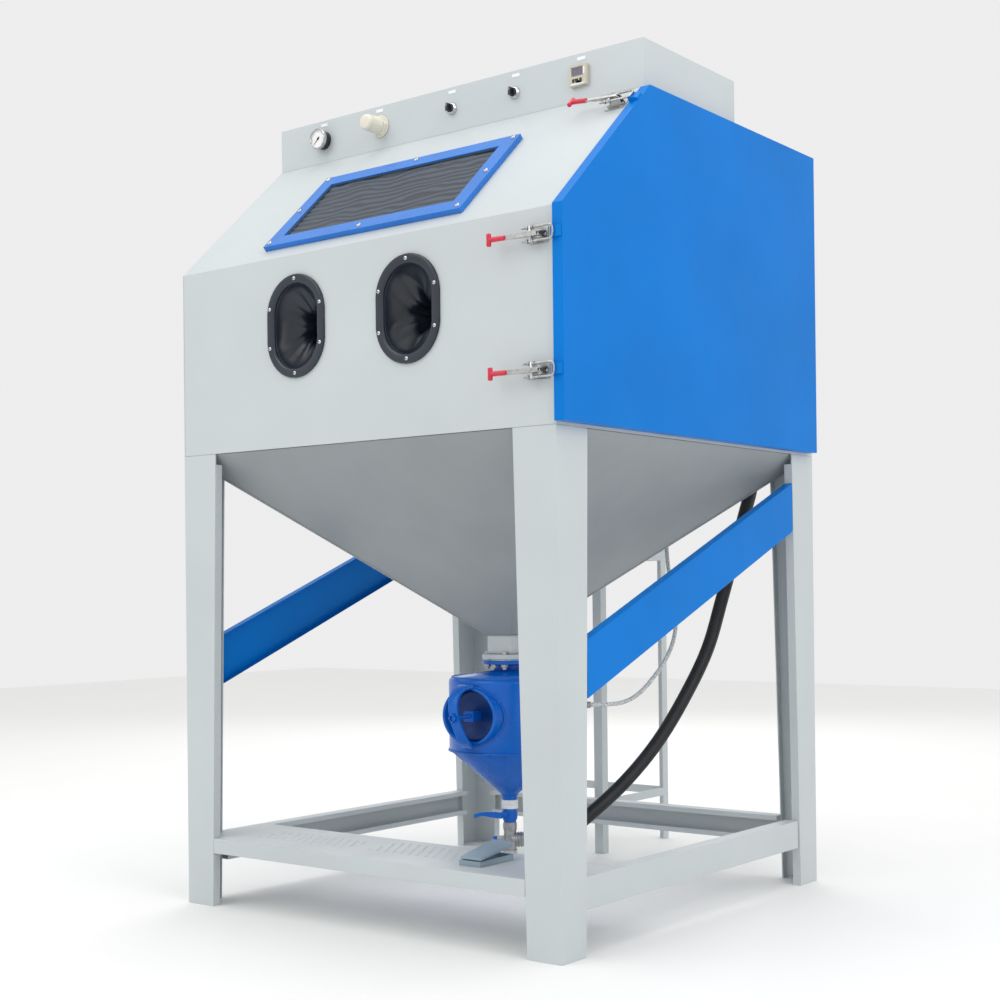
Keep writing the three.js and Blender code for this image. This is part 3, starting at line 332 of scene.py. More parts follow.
# ---- Meshes ---------------------------------------------------------------------------
class Build:
    """Collects solids given in a local frame in millimetres into one mesh with several finishes."""

    def __init__(self, *materials):
        self.bm = bmesh.new()
        self.materials = materials

    def placed(self, verts, matrix, index):
        bmesh.ops.transform(self.bm, matrix=matrix, verts=verts)
        for face in {f for v in verts for f in v.link_faces}:
            face.material_index = index
            face.smooth = True
        return self

    def prism(self, outline, low, high, matrix=WORLD, index=0):
        """An outline in the local XY, given a thickness along Z."""
        rings = [[self.bm.verts.new((x, y, z)) for x, y in outline] for z in (low, high)]
        self.bm.faces.new(rings[0][::-1])
        self.bm.faces.new(rings[1])
        n = len(outline)
        for i in range(n):
            j = (i + 1) % n
            self.bm.faces.new((rings[0][i], rings[0][j], rings[1][j], rings[1][i]))
        return self.placed(rings[0] + rings[1], matrix, index)

    def block(self, low, high, matrix=WORLD, index=0):
        (x0, y0, z0), (x1, y1, z1) = low, high
        return self.prism([(x0, y0), (x1, y0), (x1, y1), (x0, y1)], z0, z1, matrix, index)

    def turn(self, profile, matrix=WORLD, index=0, sides=48, oval=(1, 1)):
        """A closed solid turned about the local Z axis; profile points are (radius, height)."""
        rings = []
        for radius, height in profile:
            if radius == 0:
                rings.append([self.bm.verts.new((0, 0, height))])
                continue
            step = 2 * math.pi / sides
            rings.append([self.bm.verts.new((radius * oval[0] * math.cos(i * step),
                                             radius * oval[1] * math.sin(i * step), height))
                          for i in range(sides)])
        self.skin(rings, closed=profile[0] == profile[-1])
        return self.placed([v for ring in rings for v in ring], matrix, index)

    def sweep(self, points, radius, matrix=WORLD, index=0, sides=12, caps=True):
        """A tube along points; radius is a number or one for each point."""
        points = [Vector(p) for p in points]
        radii = radius if isinstance(radius, (list, tuple)) else [radius] * len(points)
        side = None
        rings = []
        for i, point in enumerate(points):
            along = (points[min(i + 1, len(points) - 1)] - points[max(i - 1, 0)]).normalized()
            if side is None:
                side = along.orthogonal().normalized()
            side = (side - along * side.dot(along)).normalized()
            other = along.cross(side)
            ring = []
            for k in range(sides):
                angle = 2 * math.pi * k / sides
                outwards = side * math.cos(angle) + other * math.sin(angle)
                ring.append(self.bm.verts.new(point + outwards * radii[i]))
            rings.append(ring)
        self.skin(rings, closed=False)
        if caps:
            self.bm.faces.new(rings[0][::-1])
            self.bm.faces.new(rings[-1])
        return self.placed([v for ring in rings for v in ring], matrix, index)

    def skin(self, rings, closed):
        pairs = list(zip(rings, rings[1:]))
        if closed:
            pairs[-1] = (rings[-2], rings[0])
            bmesh.ops.delete(self.bm, geom=rings.pop(), context="VERTS")
        for low, high in pairs:
            if len(low) == len(high) == 1:
                continue
            n = max(len(low), len(high))
            for i in range(n):
                j = (i + 1) % n
                if len(low) == 1:
                    self.bm.faces.new((low[0], high[j], high[i]))
                elif len(high) == 1:
                    self.bm.faces.new((low[i], low[j], high[0]))
                else:
                    self.bm.faces.new((low[i], low[j], high[j], high[i]))

    def mesh(self, name):
        bmesh.ops.recalc_face_normals(self.bm, faces=self.bm.faces)
        mesh = bpy.data.meshes.new(name)
        self.bm.to_mesh(mesh)
        self.bm.free()
        return mesh

    def piece(self, name, body, slot, replaces=(), bevel=0.0, angle=40):
        return place(self.mesh(name), name, body, slot, self.materials, replaces, bevel, angle)


def place(mesh, name, body, slot, materials, replaces=(), bevel=0.0, angle=40):
    for material in materials:
        mesh.materials.append(material)
    mesh.set_sharp_from_angle(angle=math.radians(angle))
    piece = add_object(name, mesh)
    if bevel:
        edge = piece.modifiers.new("edge", "BEVEL")
        edge.width, edge.segments, edge.limit_method = bevel * MM, 2, "ANGLE"
        edge.angle_limit = math.radians(angle)
        edge.harden_normals = True
    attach(piece, body)
    if replaces:
        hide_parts(*replaces)
    return piece


def clean_copy(node):
    """A CAD node's shape as a new mesh, with its flat faces whole again."""
    source = NODES[node].data
    mesh = bpy.data.meshes.new(node + "_skin")
    mesh.from_pydata([v.co for v in source.vertices], [], [p.vertices[:] for p in source.polygons])
    bm = bmesh.new()
    bm.from_mesh(mesh)
    bmesh.ops.remove_doubles(bm, verts=bm.verts, dist=2e-6)
    bmesh.ops.dissolve_limit(bm, angle_limit=math.radians(0.4), verts=bm.verts, edges=bm.edges)
    for face in bm.faces:
        face.smooth = True
    bm.to_mesh(mesh)
    bm.free()
    return mesh


SLOTS = {part["node"]: part["material_slot"] for part in frame["record"]["subparts"]}


def refine(node, bevel=0.8, material=None, angle=32):
    """The CAD node again with softened edges and its own finish."""
    slot = SLOTS[node]
    body = NODES[node]["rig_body"]
    chosen = material or FINISH[slot]
    return place(clean_copy(node), node + "_skin", body, slot, [chosen], (node,), bevel, angle)


# ---- Hoses ----------------------------------------------------------------------------
BLAST_RADIUS = 18.5
BLAST_ROUTE = [
    (50.3, 650.3, 138), (62, 662, 138), (78, 678, 141), (100, 701, 151), (124, 726, 169), (149, 752, 195),
    (200, 851, 277), (249, 946, 382), (292, 1030, 511), (325, 1094, 636), (348, 1138, 777), (369, 1180, 917),
    (385, 1210, 1022), (394, 1228, 1085), (399, 1239, 1160), (400, 1244, 1240), (400, 1245, 1305),
    (400, 1245, 1368),
]
AIR_RADIUS = 6
AIR_ROUTE = [
    (145.2, 745.2, 495), (160, 760, 495), (174, 780, 494.5), (188, 808, 494.5), (201, 846, 497), (212, 880, 507),
    (222, 912, 525), (231, 952, 556), (240, 992, 594), (244, 1031, 640), (238, 1064, 685), (224, 1090, 732),
    (204, 1107, 790), (185, 1120, 850), (165, 1141, 925), (151, 1168, 1000), (140, 1197, 1075), (133, 1219, 1135),
    (130, 1228, 1175), (130, 1229, 1200),
]
CURVE_STEPS = 6  # points between two of the route's


def smooth_route(route):
    """The centripetal Catmull-Rom curve through a route, as points."""
    points = [Vector(p) for p in route]
    padded = [points[0] * 2 - points[1], *points, points[-1] * 2 - points[-2]]
    made = []
    for p0, p1, p2, p3 in zip(padded, padded[1:], padded[2:], padded[3:]):
        t1 = (p1 - p0).length ** 0.5
        t2 = t1 + (p2 - p1).length ** 0.5
        t3 = t2 + (p3 - p2).length ** 0.5
        for i in range(CURVE_STEPS):
            t = t1 + (t2 - t1) * i / CURVE_STEPS
            a1 = p0 * ((t1 - t) / t1) + p1 * (t / t1)
            a2 = p1 * ((t2 - t) / (t2 - t1)) + p2 * ((t - t1) / (t2 - t1))
            a3 = p2 * ((t3 - t) / (t3 - t2)) + p3 * ((t - t2) / (t3 - t2))
            b1 = a1 * ((t2 - t) / t2) + a2 * (t / t2)
            b2 = a2 * ((t3 - t) / (t3 - t1)) + a3 * ((t - t1) / (t3 - t1))
            made.append(b1 * ((t2 - t) / (t2 - t1)) + b2 * ((t - t1) / (t2 - t1)))
    return made + [points[-1]]


def make_hose(name, node, route, radius, material):
    line = smooth_route(route)
    curve = bpy.data.curves.new(name, "CURVE")
    curve.dimensions = "3D"
    curve.bevel_depth = radius * MM
    curve.bevel_resolution = 5
    curve.use_fill_caps = True
    spline = curve.splines.new("POLY")
    spline.points.add(len(line) - 1)
    for spot, point in zip(spline.points, line):
        spot.co = (*at(*point), 1)
    spline.use_smooth = True
    curve.materials.append(material)
    hose = add_object(name, curve)
    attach(hose, "cabinet")
    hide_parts(node)
    length = sum((b - a).length for a, b in zip(line, line[1:])) * MM
    at(*route[0])


SLEEVE_GAP = 0.8
FERRULE_RIBS = 3


def ferrule(name, route, radius, length, slot, material):
    """A ribbed crimp sleeve round the first end of a hose."""
    start, ahead = Vector(route[0]), Vector(route[1])
    along = (ahead - start).normalized()
    side = along.orthogonal().normalized()
    frame_here = basis(*start, side, along.cross(side), along)
    low, high = radius + 1.2, radius + 2.6
    ribs = [(radius, 0)]
    for i in range(FERRULE_RIBS):
        z = length * (i + 0.2) / FERRULE_RIBS
        ribs += [(low, z), (high, z + length * 0.08), (high, z + length * 0.16), (low, z + length * 0.24)]
    ribs += [(radius, length), (radius - 0.6, length), (radius - 0.6, 0), (radius, 0)]
    return Build(material).turn(ribs, frame_here, sides=32).piece(name, "cabinet", slot, angle=35)


blast_ferrule = ferrule("blast_hose_ferrule", BLAST_ROUTE, BLAST_RADIUS + SLEEVE_GAP, 30, "zinc", cast_metal)
air_ferrule = ferrule("air_hose_ferrule", AIR_ROUTE, AIR_RADIUS + SLEEVE_GAP, 18, "zinc", zinc)
make_hose("blast_hose_skin", "blast_hose", BLAST_ROUTE, BLAST_RADIUS, rubber)
make_hose("air_hose_skin", "air_hose", AIR_ROUTE, AIR_RADIUS, clear_hose)

# ---- Sheet metal ------------------------------------------------------------------------
SHEET_NODES = (
    "leg_front_left", "leg_front_right", "leg_rear_left", "leg_rear_right", "base_platform", "rear_rail",
    "front_panel", "left_panel", "rear_shell", "control_box", "collector_stand", "collector_housing",
)
for sheet_node in SHEET_NODES:
    refine(sheet_node, 1.2, material=grey_paint)
refine("hopper", 1.5, material=hopper_paint)
refine("hopper_neck", 1.5, material=grey_paint)
for sheet_node in ("door", "brace_left", "brace_right"):
    refine(sheet_node, 1.5, material=blue_paint)
refine("window_frame", 1.0, material=frame_blue)
refine("blast_gun", 0.6, material=rubber)
for plain_node in ("door_seal", "door_hinges", "flange_gasket", "work_grate", "cabinet_lamp", "pedal_base"):
    refine(plain_node, 0.6)
refine("pedal_treadle", 2.0)
refine("popup_valve", 0.6)


def bead(points, radius, ripple=0.35, pitch=3.2):
    """A weld bead's centre line as points and radii with the ripples a torch leaves."""
    points = [Vector(p) for p in points]
    line, radii = [], []
    for a, b in zip(points, points[1:]):
        count = max(2, int((b - a).length / (pitch / 2)))
        for i in range(count):
            line.append(a.lerp(b, i / count))
            radii.append(radius + (ripple if len(radii) % 2 else -ripple))
    return line + [points[-1]], radii + [radius]


def ring_points(radius, z, count):
    step = 2 * math.pi / count
    return [(radius * math.cos(i * step), radius * math.sin(i * step), z) for i in range(count + 1)]


HOPPER_RIM = 595
NECK_HALF = 39
NECK_TOP_Z = 688
FLANGE_Z = 624


def hopper_welds():
    """Beads down the hopper's four corners and round the neck."""
    build = Build(hopper_paint)
    for sx in (-1, 1):
        for sy in (-1, 1):
            top = (sx * HOPPER_RIM, MID_Y + sy * HOPPER_RIM, 1163)
            foot = (sx * NECK_HALF, MID_Y + sy * NECK_HALF, NECK_TOP_Z)
            build.sweep(*bead([top, foot], 2.2, 0.4, 8), sides=8)
    square = [(sx * NECK_HALF, MID_Y + sy * NECK_HALF, NECK_TOP_Z - 1)
              for sx, sy in ((-1, -1), (1, -1), (1, 1), (-1, 1), (-1, -1))]
    build.sweep(*bead(square, 2.4, 0.5), sides=8)
    low = [(x * 1.01, (y - MID_Y) * 1.01 + MID_Y, FLANGE_Z + 12.5) for x, y, _ in square]
    build.sweep(*bead(low, 2.4, 0.5), sides=8)
    build.piece("hopper_welds", "cabinet", "hopper_paint", angle=60)


hopper_welds()

# ---- Screws -------------------------------------------------------------------------------
def add_screw(build, place_here, radius, height, index=0):
    """A pan-head screw with a cross recess, standing on the local XY plane."""
    r, h = radius, height
    dome = [(0, h), (r * 0.45, h * 0.96), (r * 0.78, h * 0.78), (r * 0.95, h * 0.45), (r, h * 0.15), (r, 0),
            (0, 0)]
    build.turn(dome, place_here, index, sides=24)
    # The cross is not cut in: two bars stand just proud of the dome in the next finish; with the dark grey of the
    # window and port screws, that is painted shade of the recess.
    arm, half, top = r * 0.55, r * 0.11, h * 1.005
    build.block((-arm, -half, h * 0.6), (arm, half, top), place_here, index + 1)
    build.block((-half, -arm, h * 0.6), (half, arm, top), place_here, index + 1)


WINDOW = {"width": 640, "height": 322, "low": 43, "thick": 14, "opening": 20, "inset": 14}


def window_screws():
    build = Build(chrome, recess_shade)
    for sx in (-1, 0, 1):
        for sy in (-1, 0, 1):
            if sx or sy:
                along = WINDOW["low"] + WINDOW["height"] / 2 + sy * (WINDOW["height"] / 2 - WINDOW["inset"])
                spot = slope(sx * (WINDOW["width"] / 2 - WINDOW["inset"]), along)
                add_screw(build, spot @ Matrix.Translation((0, 0, WINDOW["thick"] + 0.1)), 6.2, 5.2)
    build.piece("window_screws", "cabinet", "zinc")


def window_pane():
    """The pane with its rubber bead and rounded inner corners."""
    half = WINDOW["width"] / 2 - WINDOW["opening"] - 1
    low = WINDOW["low"] + WINDOW["opening"] + 1
    high = WINDOW["low"] + WINDOW["height"] - WINDOW["opening"] - 1
    build = Build(pane)
    build.prism(rounded_box(-half, low, half, high, 6), 1, 7.6, slope(0, 0))
    build.piece("window_pane", "cabinet", "window_glass", ("window_glass",), bevel=0.6)
    bead_build = Build(rubber)
    edge = 23
    inner = rounded_box(-half + edge, low + edge, half - edge, high - edge, 14)
    line = [(x, y, 8.0) for x, y in inner + inner[:1]]
    bead_build.sweep(line, 2.6, slope(0, 0), sides=8, caps=False)
    bead_build.piece("window_bead", "cabinet", "black_rubber", angle=60)


def rounded_box(x0, y0, x1, y1, radius, steps=5):
    corners = [(x1 - radius, y0 + radius, -90), (x1 - radius, y1 - radius, 0), (x0 + radius, y1 - radius, 90),
               (x0 + radius, y0 + radius, 180)]
    made = []
    for cx, cy, start in corners:
        for i in range(steps + 1):
            angle = math.radians(start + 90 * i / steps)
            made.append((cx + radius * math.cos(angle), cy + radius * math.sin(angle)))
    return made


window_screws()
window_pane()

# ---- Glove ports ----------------------------------------------------------------------------
PORT = {"x": 182, "z": 1461.5, "half_x": 97, "half_z": 127.5, "rim": 23}
PORT_SCREWS = [(0, 1), (0, -1), (1, 0.42), (1, -0.42), (-1, 0.42), (-1, -0.42)]


def port_outline(inset, steps=40):
    """The port's upright oval, moved inwards by an inset."""
    half, tall = PORT["half_x"] - inset, PORT["half_z"] - inset
    straight = tall - half
    made = []
    for i in range(steps):
        angle = 2 * math.pi * i / steps + math.pi / steps
        lift = straight if math.sin(angle) > 0 else -straight
        made.append((half * math.cos(angle), lift + half * math.sin(angle)))
    return made


def add_loft(build, rings, matrix, index=0):
    """Skins rings of equal count; rings are lists of local points."""
    made = [[build.bm.verts.new(p) for p in ring] for ring in rings]
    build.skin(made, closed=False)
    build.placed([v for ring in made for v in ring], matrix, index)
    return made


PORT_RIM_PROFILE = [(0, 0.3), (0, 5.5), (1.6, 7.6), (4, 8), (17, 8), (20.5, 6.8), (22.5, 4), (23, 0.3)]


def make_port(side, end):
    here = front(side * PORT["x"], PORT["z"])
    build = Build(port_plastic, chrome, recess_shade)
    rings = [[(x, y, height) for x, y in port_outline(inset)] for inset, height in PORT_RIM_PROFILE]
    add_loft(build, rings + rings[:1], here)
    bmesh.ops.remove_doubles(build.bm, verts=build.bm.verts, dist=1e-6)
    for sx, sz in PORT_SCREWS:
        x = sx * (PORT["half_x"] - PORT["rim"] / 2)
        z = sz * (PORT["half_z"] - PORT["rim"] / 2)
        add_screw(build, here @ Matrix.Translation((x, z, 7.9)), 5, 3, index=1)
    build.piece(f"port_{end}", "cabinet", "black_plastic", (f"port_frame_{end}",), angle=50)
    make_glove(side, end, here)


GLOVE_LINE = [(0, 73), (8, 72.5), (40, 62), (80, 44), (120, 31), (180, 27), (300, 36), (420, 44), (480, 30)]
GLOVE_LENGTH = 478
GLOVE_RINGS = 64
GLOVE_SIDES = 80
MOUTH_DEPTH = 60  # over which the sleeve turns from the port's shape into its own
FOLD_DEPTH = 55  # where the folds are full


def along_line(line, depth):
    for (d0, r0), (d1, r1) in zip(line, line[1:]):
        if depth <= d1:
            return r0 + (r1 - r0) * (depth - d0) / (d1 - d0)
    return line[-1][1]


def make_glove(side, end, here):
    """A rubber gauntlet hung into the cabinet, its sleeve fallen into folds behind the port."""
    rings = []
    mouth = port_outline(PORT["rim"] + 0.6, GLOVE_SIDES)
    for i in range(GLOVE_RINGS + 1):
        depth = GLOVE_LENGTH * (i / GLOVE_RINGS) ** 1.15
        radius = along_line(GLOVE_LINE, depth)
        settle = min(1, depth / FOLD_DEPTH)
        ring = []
        for k in range(GLOVE_SIDES):
            angle = 2 * math.pi * k / GLOVE_SIDES + math.pi / GLOVE_SIDES
            fold = abs(math.sin(angle * 2.5 + side * 0.8 + depth * 0.016)) ** 0.7
            crease = abs(math.sin(angle * 5.5 - side * depth * 0.03 + 1.3))
            sample = Vector((math.cos(angle) * 1.3, math.sin(angle) * 1.3, depth * 0.02 + side * 3))
            drift = noise.noise(sample) * 0.5 + 0.5
            pulled = settle * (0.26 * fold + 0.12 * crease + 0.3 * drift)
            r = radius * (1 - pulled)
            own = Vector((r * math.cos(angle), 1.4 * r * math.sin(angle)))
            blend = min(1, depth / MOUTH_DEPTH) ** 0.8
            spot = Vector(mouth[k]).lerp(own, blend)
            ring.append((spot.x, spot.y, -depth - 0.4))
        rings.append(ring)
    build = Build(glove_rubber)
    made = add_loft(build, rings, here)
    build.bm.faces.new(made[-1])
    glove = build.piece(f"glove_sleeve_{end}", "cabinet", "black_rubber", (f"glove_{end}",), angle=180)
    wall = glove.modifiers.new("wall", "SOLIDIFY")
    wall.thickness, wall.offset = 1.6 * MM, 1
    smooth = glove.modifiers.new("smooth", "SUBSURF")
    smooth.levels = smooth.render_levels = 1


make_port(-1, "left")
make_port(1, "right")

# ---- Toggle latches ---------------------------------------------------------------------------
LATCH_X = 560
LATCH_PLACES = [slope(LATCH_X, 425), front(LATCH_X, 1576), front(LATCH_X, 1282)]
THREAD_PITCH = 1.4


def latch(number, here):
    """A toggle clamp: pressed base, arched lever with a rubber T grip, threaded U-bolt and its nuts."""
    base = Build(zinc, chrome)
    plate = rounded_box(-26, -18, 27, 18, 5)
    base.prism(plate, 0.3, 2.8, here)
    ear = [(-20, 2), (22, 2), (17, 20), (13, 23.5), (7, 23.5), (3, 20), (-8, 10), (-20, 8)]
    stood = here @ Matrix.Rotation(math.pi / 2, 4, "X")
    for v0 in (-8.5, 6):
        base.prism(ear, v0, v0 + 2.5, stood)
    base.turn([(0, -10.4), (2.4, -10.4), (3, -9.6), (3, 9.6), (2.4, 10.4), (0, 10.4)],
              here @ Matrix.Translation((10, 0, 18)) @ Matrix.Rotation(math.pi / 2, 4, "X"), 1, 20)
    for u in (-18, 18):
        add_screw(base, here @ Matrix.Translation((u, 0, 2.7)), 4.6, 3.2, 0)
        add_screw(base, here @ Matrix.Translation((u, 12 if u < 0 else -12, 2.7)), 2.6, 1.6, 0)
    base.piece(f"latch_plate_{number}", "cabinet", "zinc", (f"latch_base_{number}",), bevel=0.4)

    lever = Build(zinc, red_grip)
    side_plate = [(18, 13), (18, 23), (12, 27), (-20, 29), (-60, 31), (-76, 32), (-76, 28), (-60, 27.5),
                  (-14, 18), (4, 12)]
    for v0 in (-5.2, 3.2):
        lever.prism(side_plate, v0, v0 + 2, stood)
    lever.prism([(12, 25), (12, 27), (-60, 31), (-76, 32), (-76, 30.4), (-60, 29.4)], -3.3, 3.3, stood)
    grip_start, grip_end = Vector((-70, 0, 30.2)), Vector((-110, 0, 34))
    grip_line = [grip_start.lerp(grip_end, t / 10) for t in range(11)]
    lever.sweep(grip_line, [5.2, 5.9, 5.5, 5.9, 5.5, 5.9, 5.5, 5.9, 5.5, 5.8, 5.4], here, 1, 16)
    bar = [(-112, v, 34) for v in (-14.2, -13.6, -11, -6, 0, 6, 11, 13.6, 14.2)]
    lever.sweep(bar, [3.8, 5, 5.7, 5.6, 5.5, 5.6, 5.7, 5, 3.8], here, 1, 16)
    lever.piece(f"latch_arm_{number}", f"latch_lever_{number}", "zinc", (f"latch_lever_{number}",), bevel=0.3)

    hook = Build(zinc, chrome)
    reach, side, height = 46, 15, 22
    arc = [(reach + 6 * math.cos(a), side * math.sin(a), height)
           for a in (math.radians(-90 + 15 * i) for i in range(13))]
    hook.sweep([(-6, -side, height), *arc, (-6, side, height)], 2.5, here, 0, 14)
    for v in (-side, side):
        count = int(24 / THREAD_PITCH * 2)
        line = [(-30 + 24 * i / count, v, height) for i in range(count + 1)]
        hook.sweep(line, [2.6 if i % 2 else 2.15 for i in range(count + 1)], here, 0, 12)
        lying = here @ Matrix.Translation((0, v, height)) @ Matrix.Rotation(math.pi / 2, 4, "Y")
        for z0 in (-17.5, -3.6):
            hook.turn([(0, z0), (4.7, z0), (5.2, z0 + 0.6), (5.2, z0 + 3.6), (4.7, z0 + 4.2), (0, z0 + 4.2)],
                      lying, 0, 6)
    hook.turn([(0, -18), (3.4, -18), (4, -17.4), (4, 17.4), (3.4, 18), (0, 18)],
              here @ Matrix.Translation((-8, 0, 22)) @ Matrix.Rotation(math.pi / 2, 4, "X"), 1, 20)
    hook.piece(f"latch_bolt_{number}", f"latch_hook_{number}", "zinc", (f"latch_hook_{number}",), angle=50)


for latch_number, latch_place in enumerate(LATCH_PLACES, 1):
    latch(latch_number, latch_place)

# ---- Instruments --------------------------------------------------------------------------------
GAUGE_X, REGULATOR_X, SWITCH_XS, TIMER_X = -433, -226, (20, 222), 421
LABEL_XS = (-433, -229, 21, 226, 424)
LABEL_Z = 2084


def on_box(x, z=PANEL_Z):
    return front(x, z, SLOPE_Y)


def gauge():
    here = on_box(GAUGE_X)
    case = Build(black_plastic, chrome, dial_white, black_plastic)
    case.turn([(0, 0.3), (24, 0.3), (25, 1.5), (25, 20), (0, 20)], here, 0, 64)
    bezel = [(25, 19), (27, 19.6), (28, 21), (28, 29), (27, 31), (25.6, 31), (24.5, 29.5), (24.5, 24), (25, 19)]
    case.turn(bezel, here, 1, 64)
    case.turn([(0, 20), (24.6, 20), (24.6, 26), (0, 26)], here, 2, 64)
    for i in range(31):
        angle = math.radians(225 - 9 * i)
        inner, half = (17.5, 0.35) if i % 5 == 0 else (19.5, 0.2)
        mark = here @ Matrix.Rotation(angle, 4, "Z")
        case.block((inner, -half, 25.9), (22.2, half, 26.15), mark, 3)
    case.piece("gauge_body", "cabinet", "black_plastic", ("gauge_case",), angle=50)
    needle = Build(black_plastic)
    turned = here @ Matrix.Rotation(math.radians(132), 4, "Z")
    blade = [(-2.2, -6.5), (2.2, -6.5), (0.9, 4), (0.35, 18.5), (-0.35, 18.5), (-0.9, 4)]
    needle.prism(blade, 26.6, 27.4, turned)
    needle.turn([(0, 26.4), (3, 26.4), (3, 27.6), (2.3, 28.5), (0, 28.5)], here, 0, 24)
    needle.piece("gauge_pointer", "gauge_needle", "black_plastic", ("gauge_needle",), bevel=0.1)


def ribbed(radius, depth, count, turns=4):
    """A fluted outline: every rib has rounded flanks."""
    total = count * turns
    outline = []
    for i in range(total):
        r = radius - depth * (0.5 - 0.5 * math.cos(2 * math.pi * i / turns))
        angle = 2 * math.pi * i / total
        outline.append((r * math.cos(angle), r * math.sin(angle)))
    return outline


def regulator():
    here = on_box(REGULATOR_X)
    nut = Build(cream)
    nut.turn([(0, 0.3), (28, 0.3), (29, 1.2), (29, 4.2), (28, 5), (0, 5)], here, 0, 48)
    nut.turn([(0, 4.8), (26, 4.8), (27, 6), (27, 10.8), (25.6, 12), (0, 12)], here, 0, 6)
    nut.piece("regulator_nut", "cabinet", "cream_plastic", ("regulator_body",), angle=35)
    knob = Build(cream)
    levels = [(12.6, 22, 0), (14, 22.4, 0), (22, 22.4, 0), (24, 22.2, 1.1), (54, 20.8, 1.1), (56, 20.6, 0),
              (60, 19.6, 0), (62.6, 17.6, 0), (63.7, 14, 0), (63.7, 0.01, 0)]
    rings = [[(x, y, z) for x, y in ribbed(r, depth, 26)] for z, r, depth in levels]
    made = add_loft(knob, rings, here)
    knob.bm.faces.new(made[0][::-1])
    knob.piece("regulator_handle", "regulator_knob", "cream_plastic", ("regulator_knob",), angle=50)


def switches():
    rings = Build(chrome)
    for number, x in enumerate(SWITCH_XS, 1):
        here = on_box(x)
        bezel = [(13, 7.9), (15.6, 4.8), (16.4, 1), (16.6, 0.2), (14.8, 0.2), (12.4, 6), (13, 7.9)]
        rings.turn(bezel, here, 0, 48)
        rings.turn([(11.4, 8.3), (13.4, 7.9), (14, 6.6), (12, 5.6), (11.4, 8.3)], here, 0, 48)
        knob = Build(black_plastic, white_plastic)
        knob.turn([(0, 8.4), (10.6, 8.4), (11, 9), (10.4, 13), (9.4, 14), (0, 14)], here, 0, 40)
        grip = [(-3.6, -9.4), (3.6, -9.4), (2.9, 9.6), (0, 10.6), (-2.9, 9.6)]
        knob.prism(grip, 13.4, 24, here)
        knob.block((-0.6, 2, 23.9), (0.6, 9, 24.1), here, 1)
        body = f"switch_knob_{number}"
        knob.piece(f"switch_grip_{number}", body, "black_plastic", (body,), bevel=0.5)
    rings.piece("switch_rings", "cabinet", "zinc", angle=50)


def timer():
    here = on_box(TIMER_X)
    refine("timer_case", 1.0, material=beige)
    for i in range(1, 4):
        refine(f"timer_key_{i}", 0.5, material=black_plastic)
    face = Build(display_dark, digit_red, white_plastic)
    face.prism(rounded_box(-18.6, -0.6, 13.6, 19.6, 1.2), 10.2, 11.2, here)
    for row in (4.6, 13.2):
        for i in range(4):
            x = -15.2 + i * 7.1
            face.block((x, row, 11.1), (x + 0.9, row + 5, 11.35), here, 1)
            face.block((x + 3.4, row, 11.1), (x + 4.3, row + 5, 11.35), here, 1)
            face.block((x, row + 4.3, 11.1), (x + 4.3, row + 5, 11.35), here, 1)
            face.block((x, row - 0.2, 11.1), (x + 4.3, row + 0.5, 11.35), here, 1)
    face.prism(rounded_box(15.4, 1, 20, 18, 1), 11.9, 12.3, here, 2)
    face.block((-20, -22.4, 11.8), (20, -19, 12.6), here, 2)
    face.piece("timer_display", "cabinet", "timer_plastic")


def labels():
    build = Build(label_white)
    for x in LABEL_XS:
        build.prism(rounded_box(-12, -4, 12, 4, 1), 0.1, 0.5, on_box(x, LABEL_Z))
    build.piece("blank_labels", "cabinet", "white_plastic")


gauge()
regulator()
switches()
timer()
labels()

# ---- Pressure pot ---------------------------------------------------------------------------
POT = {"r": 160, "flange_top": 620, "shoulder": 573, "seam": 382, "outlet": 246, "hand_z": 480, "wall": 4}
HAND_OUTER, HAND_INNER = (88, 75), (80, 67)  # half axes of the hand hole's rim
WELD_STEPS = 180
POT_AXIS = basis(0, MID_Y, 0, X, Y, Z)
POT_FRONT = basis(0, MID_Y, POT["hand_z"], X, Z, -Y)


def pot_profile():
    """The pot's outside from its outlet up to the flange, with rolled shoulder."""
    r, seam, shoulder = POT["r"], POT["seam"], POT["shoulder"]
    flange, flange_r, neck = POT["flange_top"], 70, 35
    low = [(14, POT["outlet"]), (20, POT["outlet"]), (20, POT["outlet"] + 12), (r - 3, seam - 3), (r, seam + 3)]
    roll = [(r - 14 + 14 * math.cos(a), shoulder - 10 + 14 * math.sin(a))
            for a in (math.radians(15 * i) for i in range(5))]
    high = [(neck, shoulder + 21), (neck, flange - 10), (flange_r - 1, flange - 10), (flange_r, flange - 9),
            (flange_r, flange - 1), (flange_r - 1, flange), (31, flange)]
    inside = [(31, shoulder + 17), (r - 4, shoulder - 4), (r - 4, seam + 4), (14, POT["outlet"] + 13)]
    return low + roll + high + inside + low[:1]


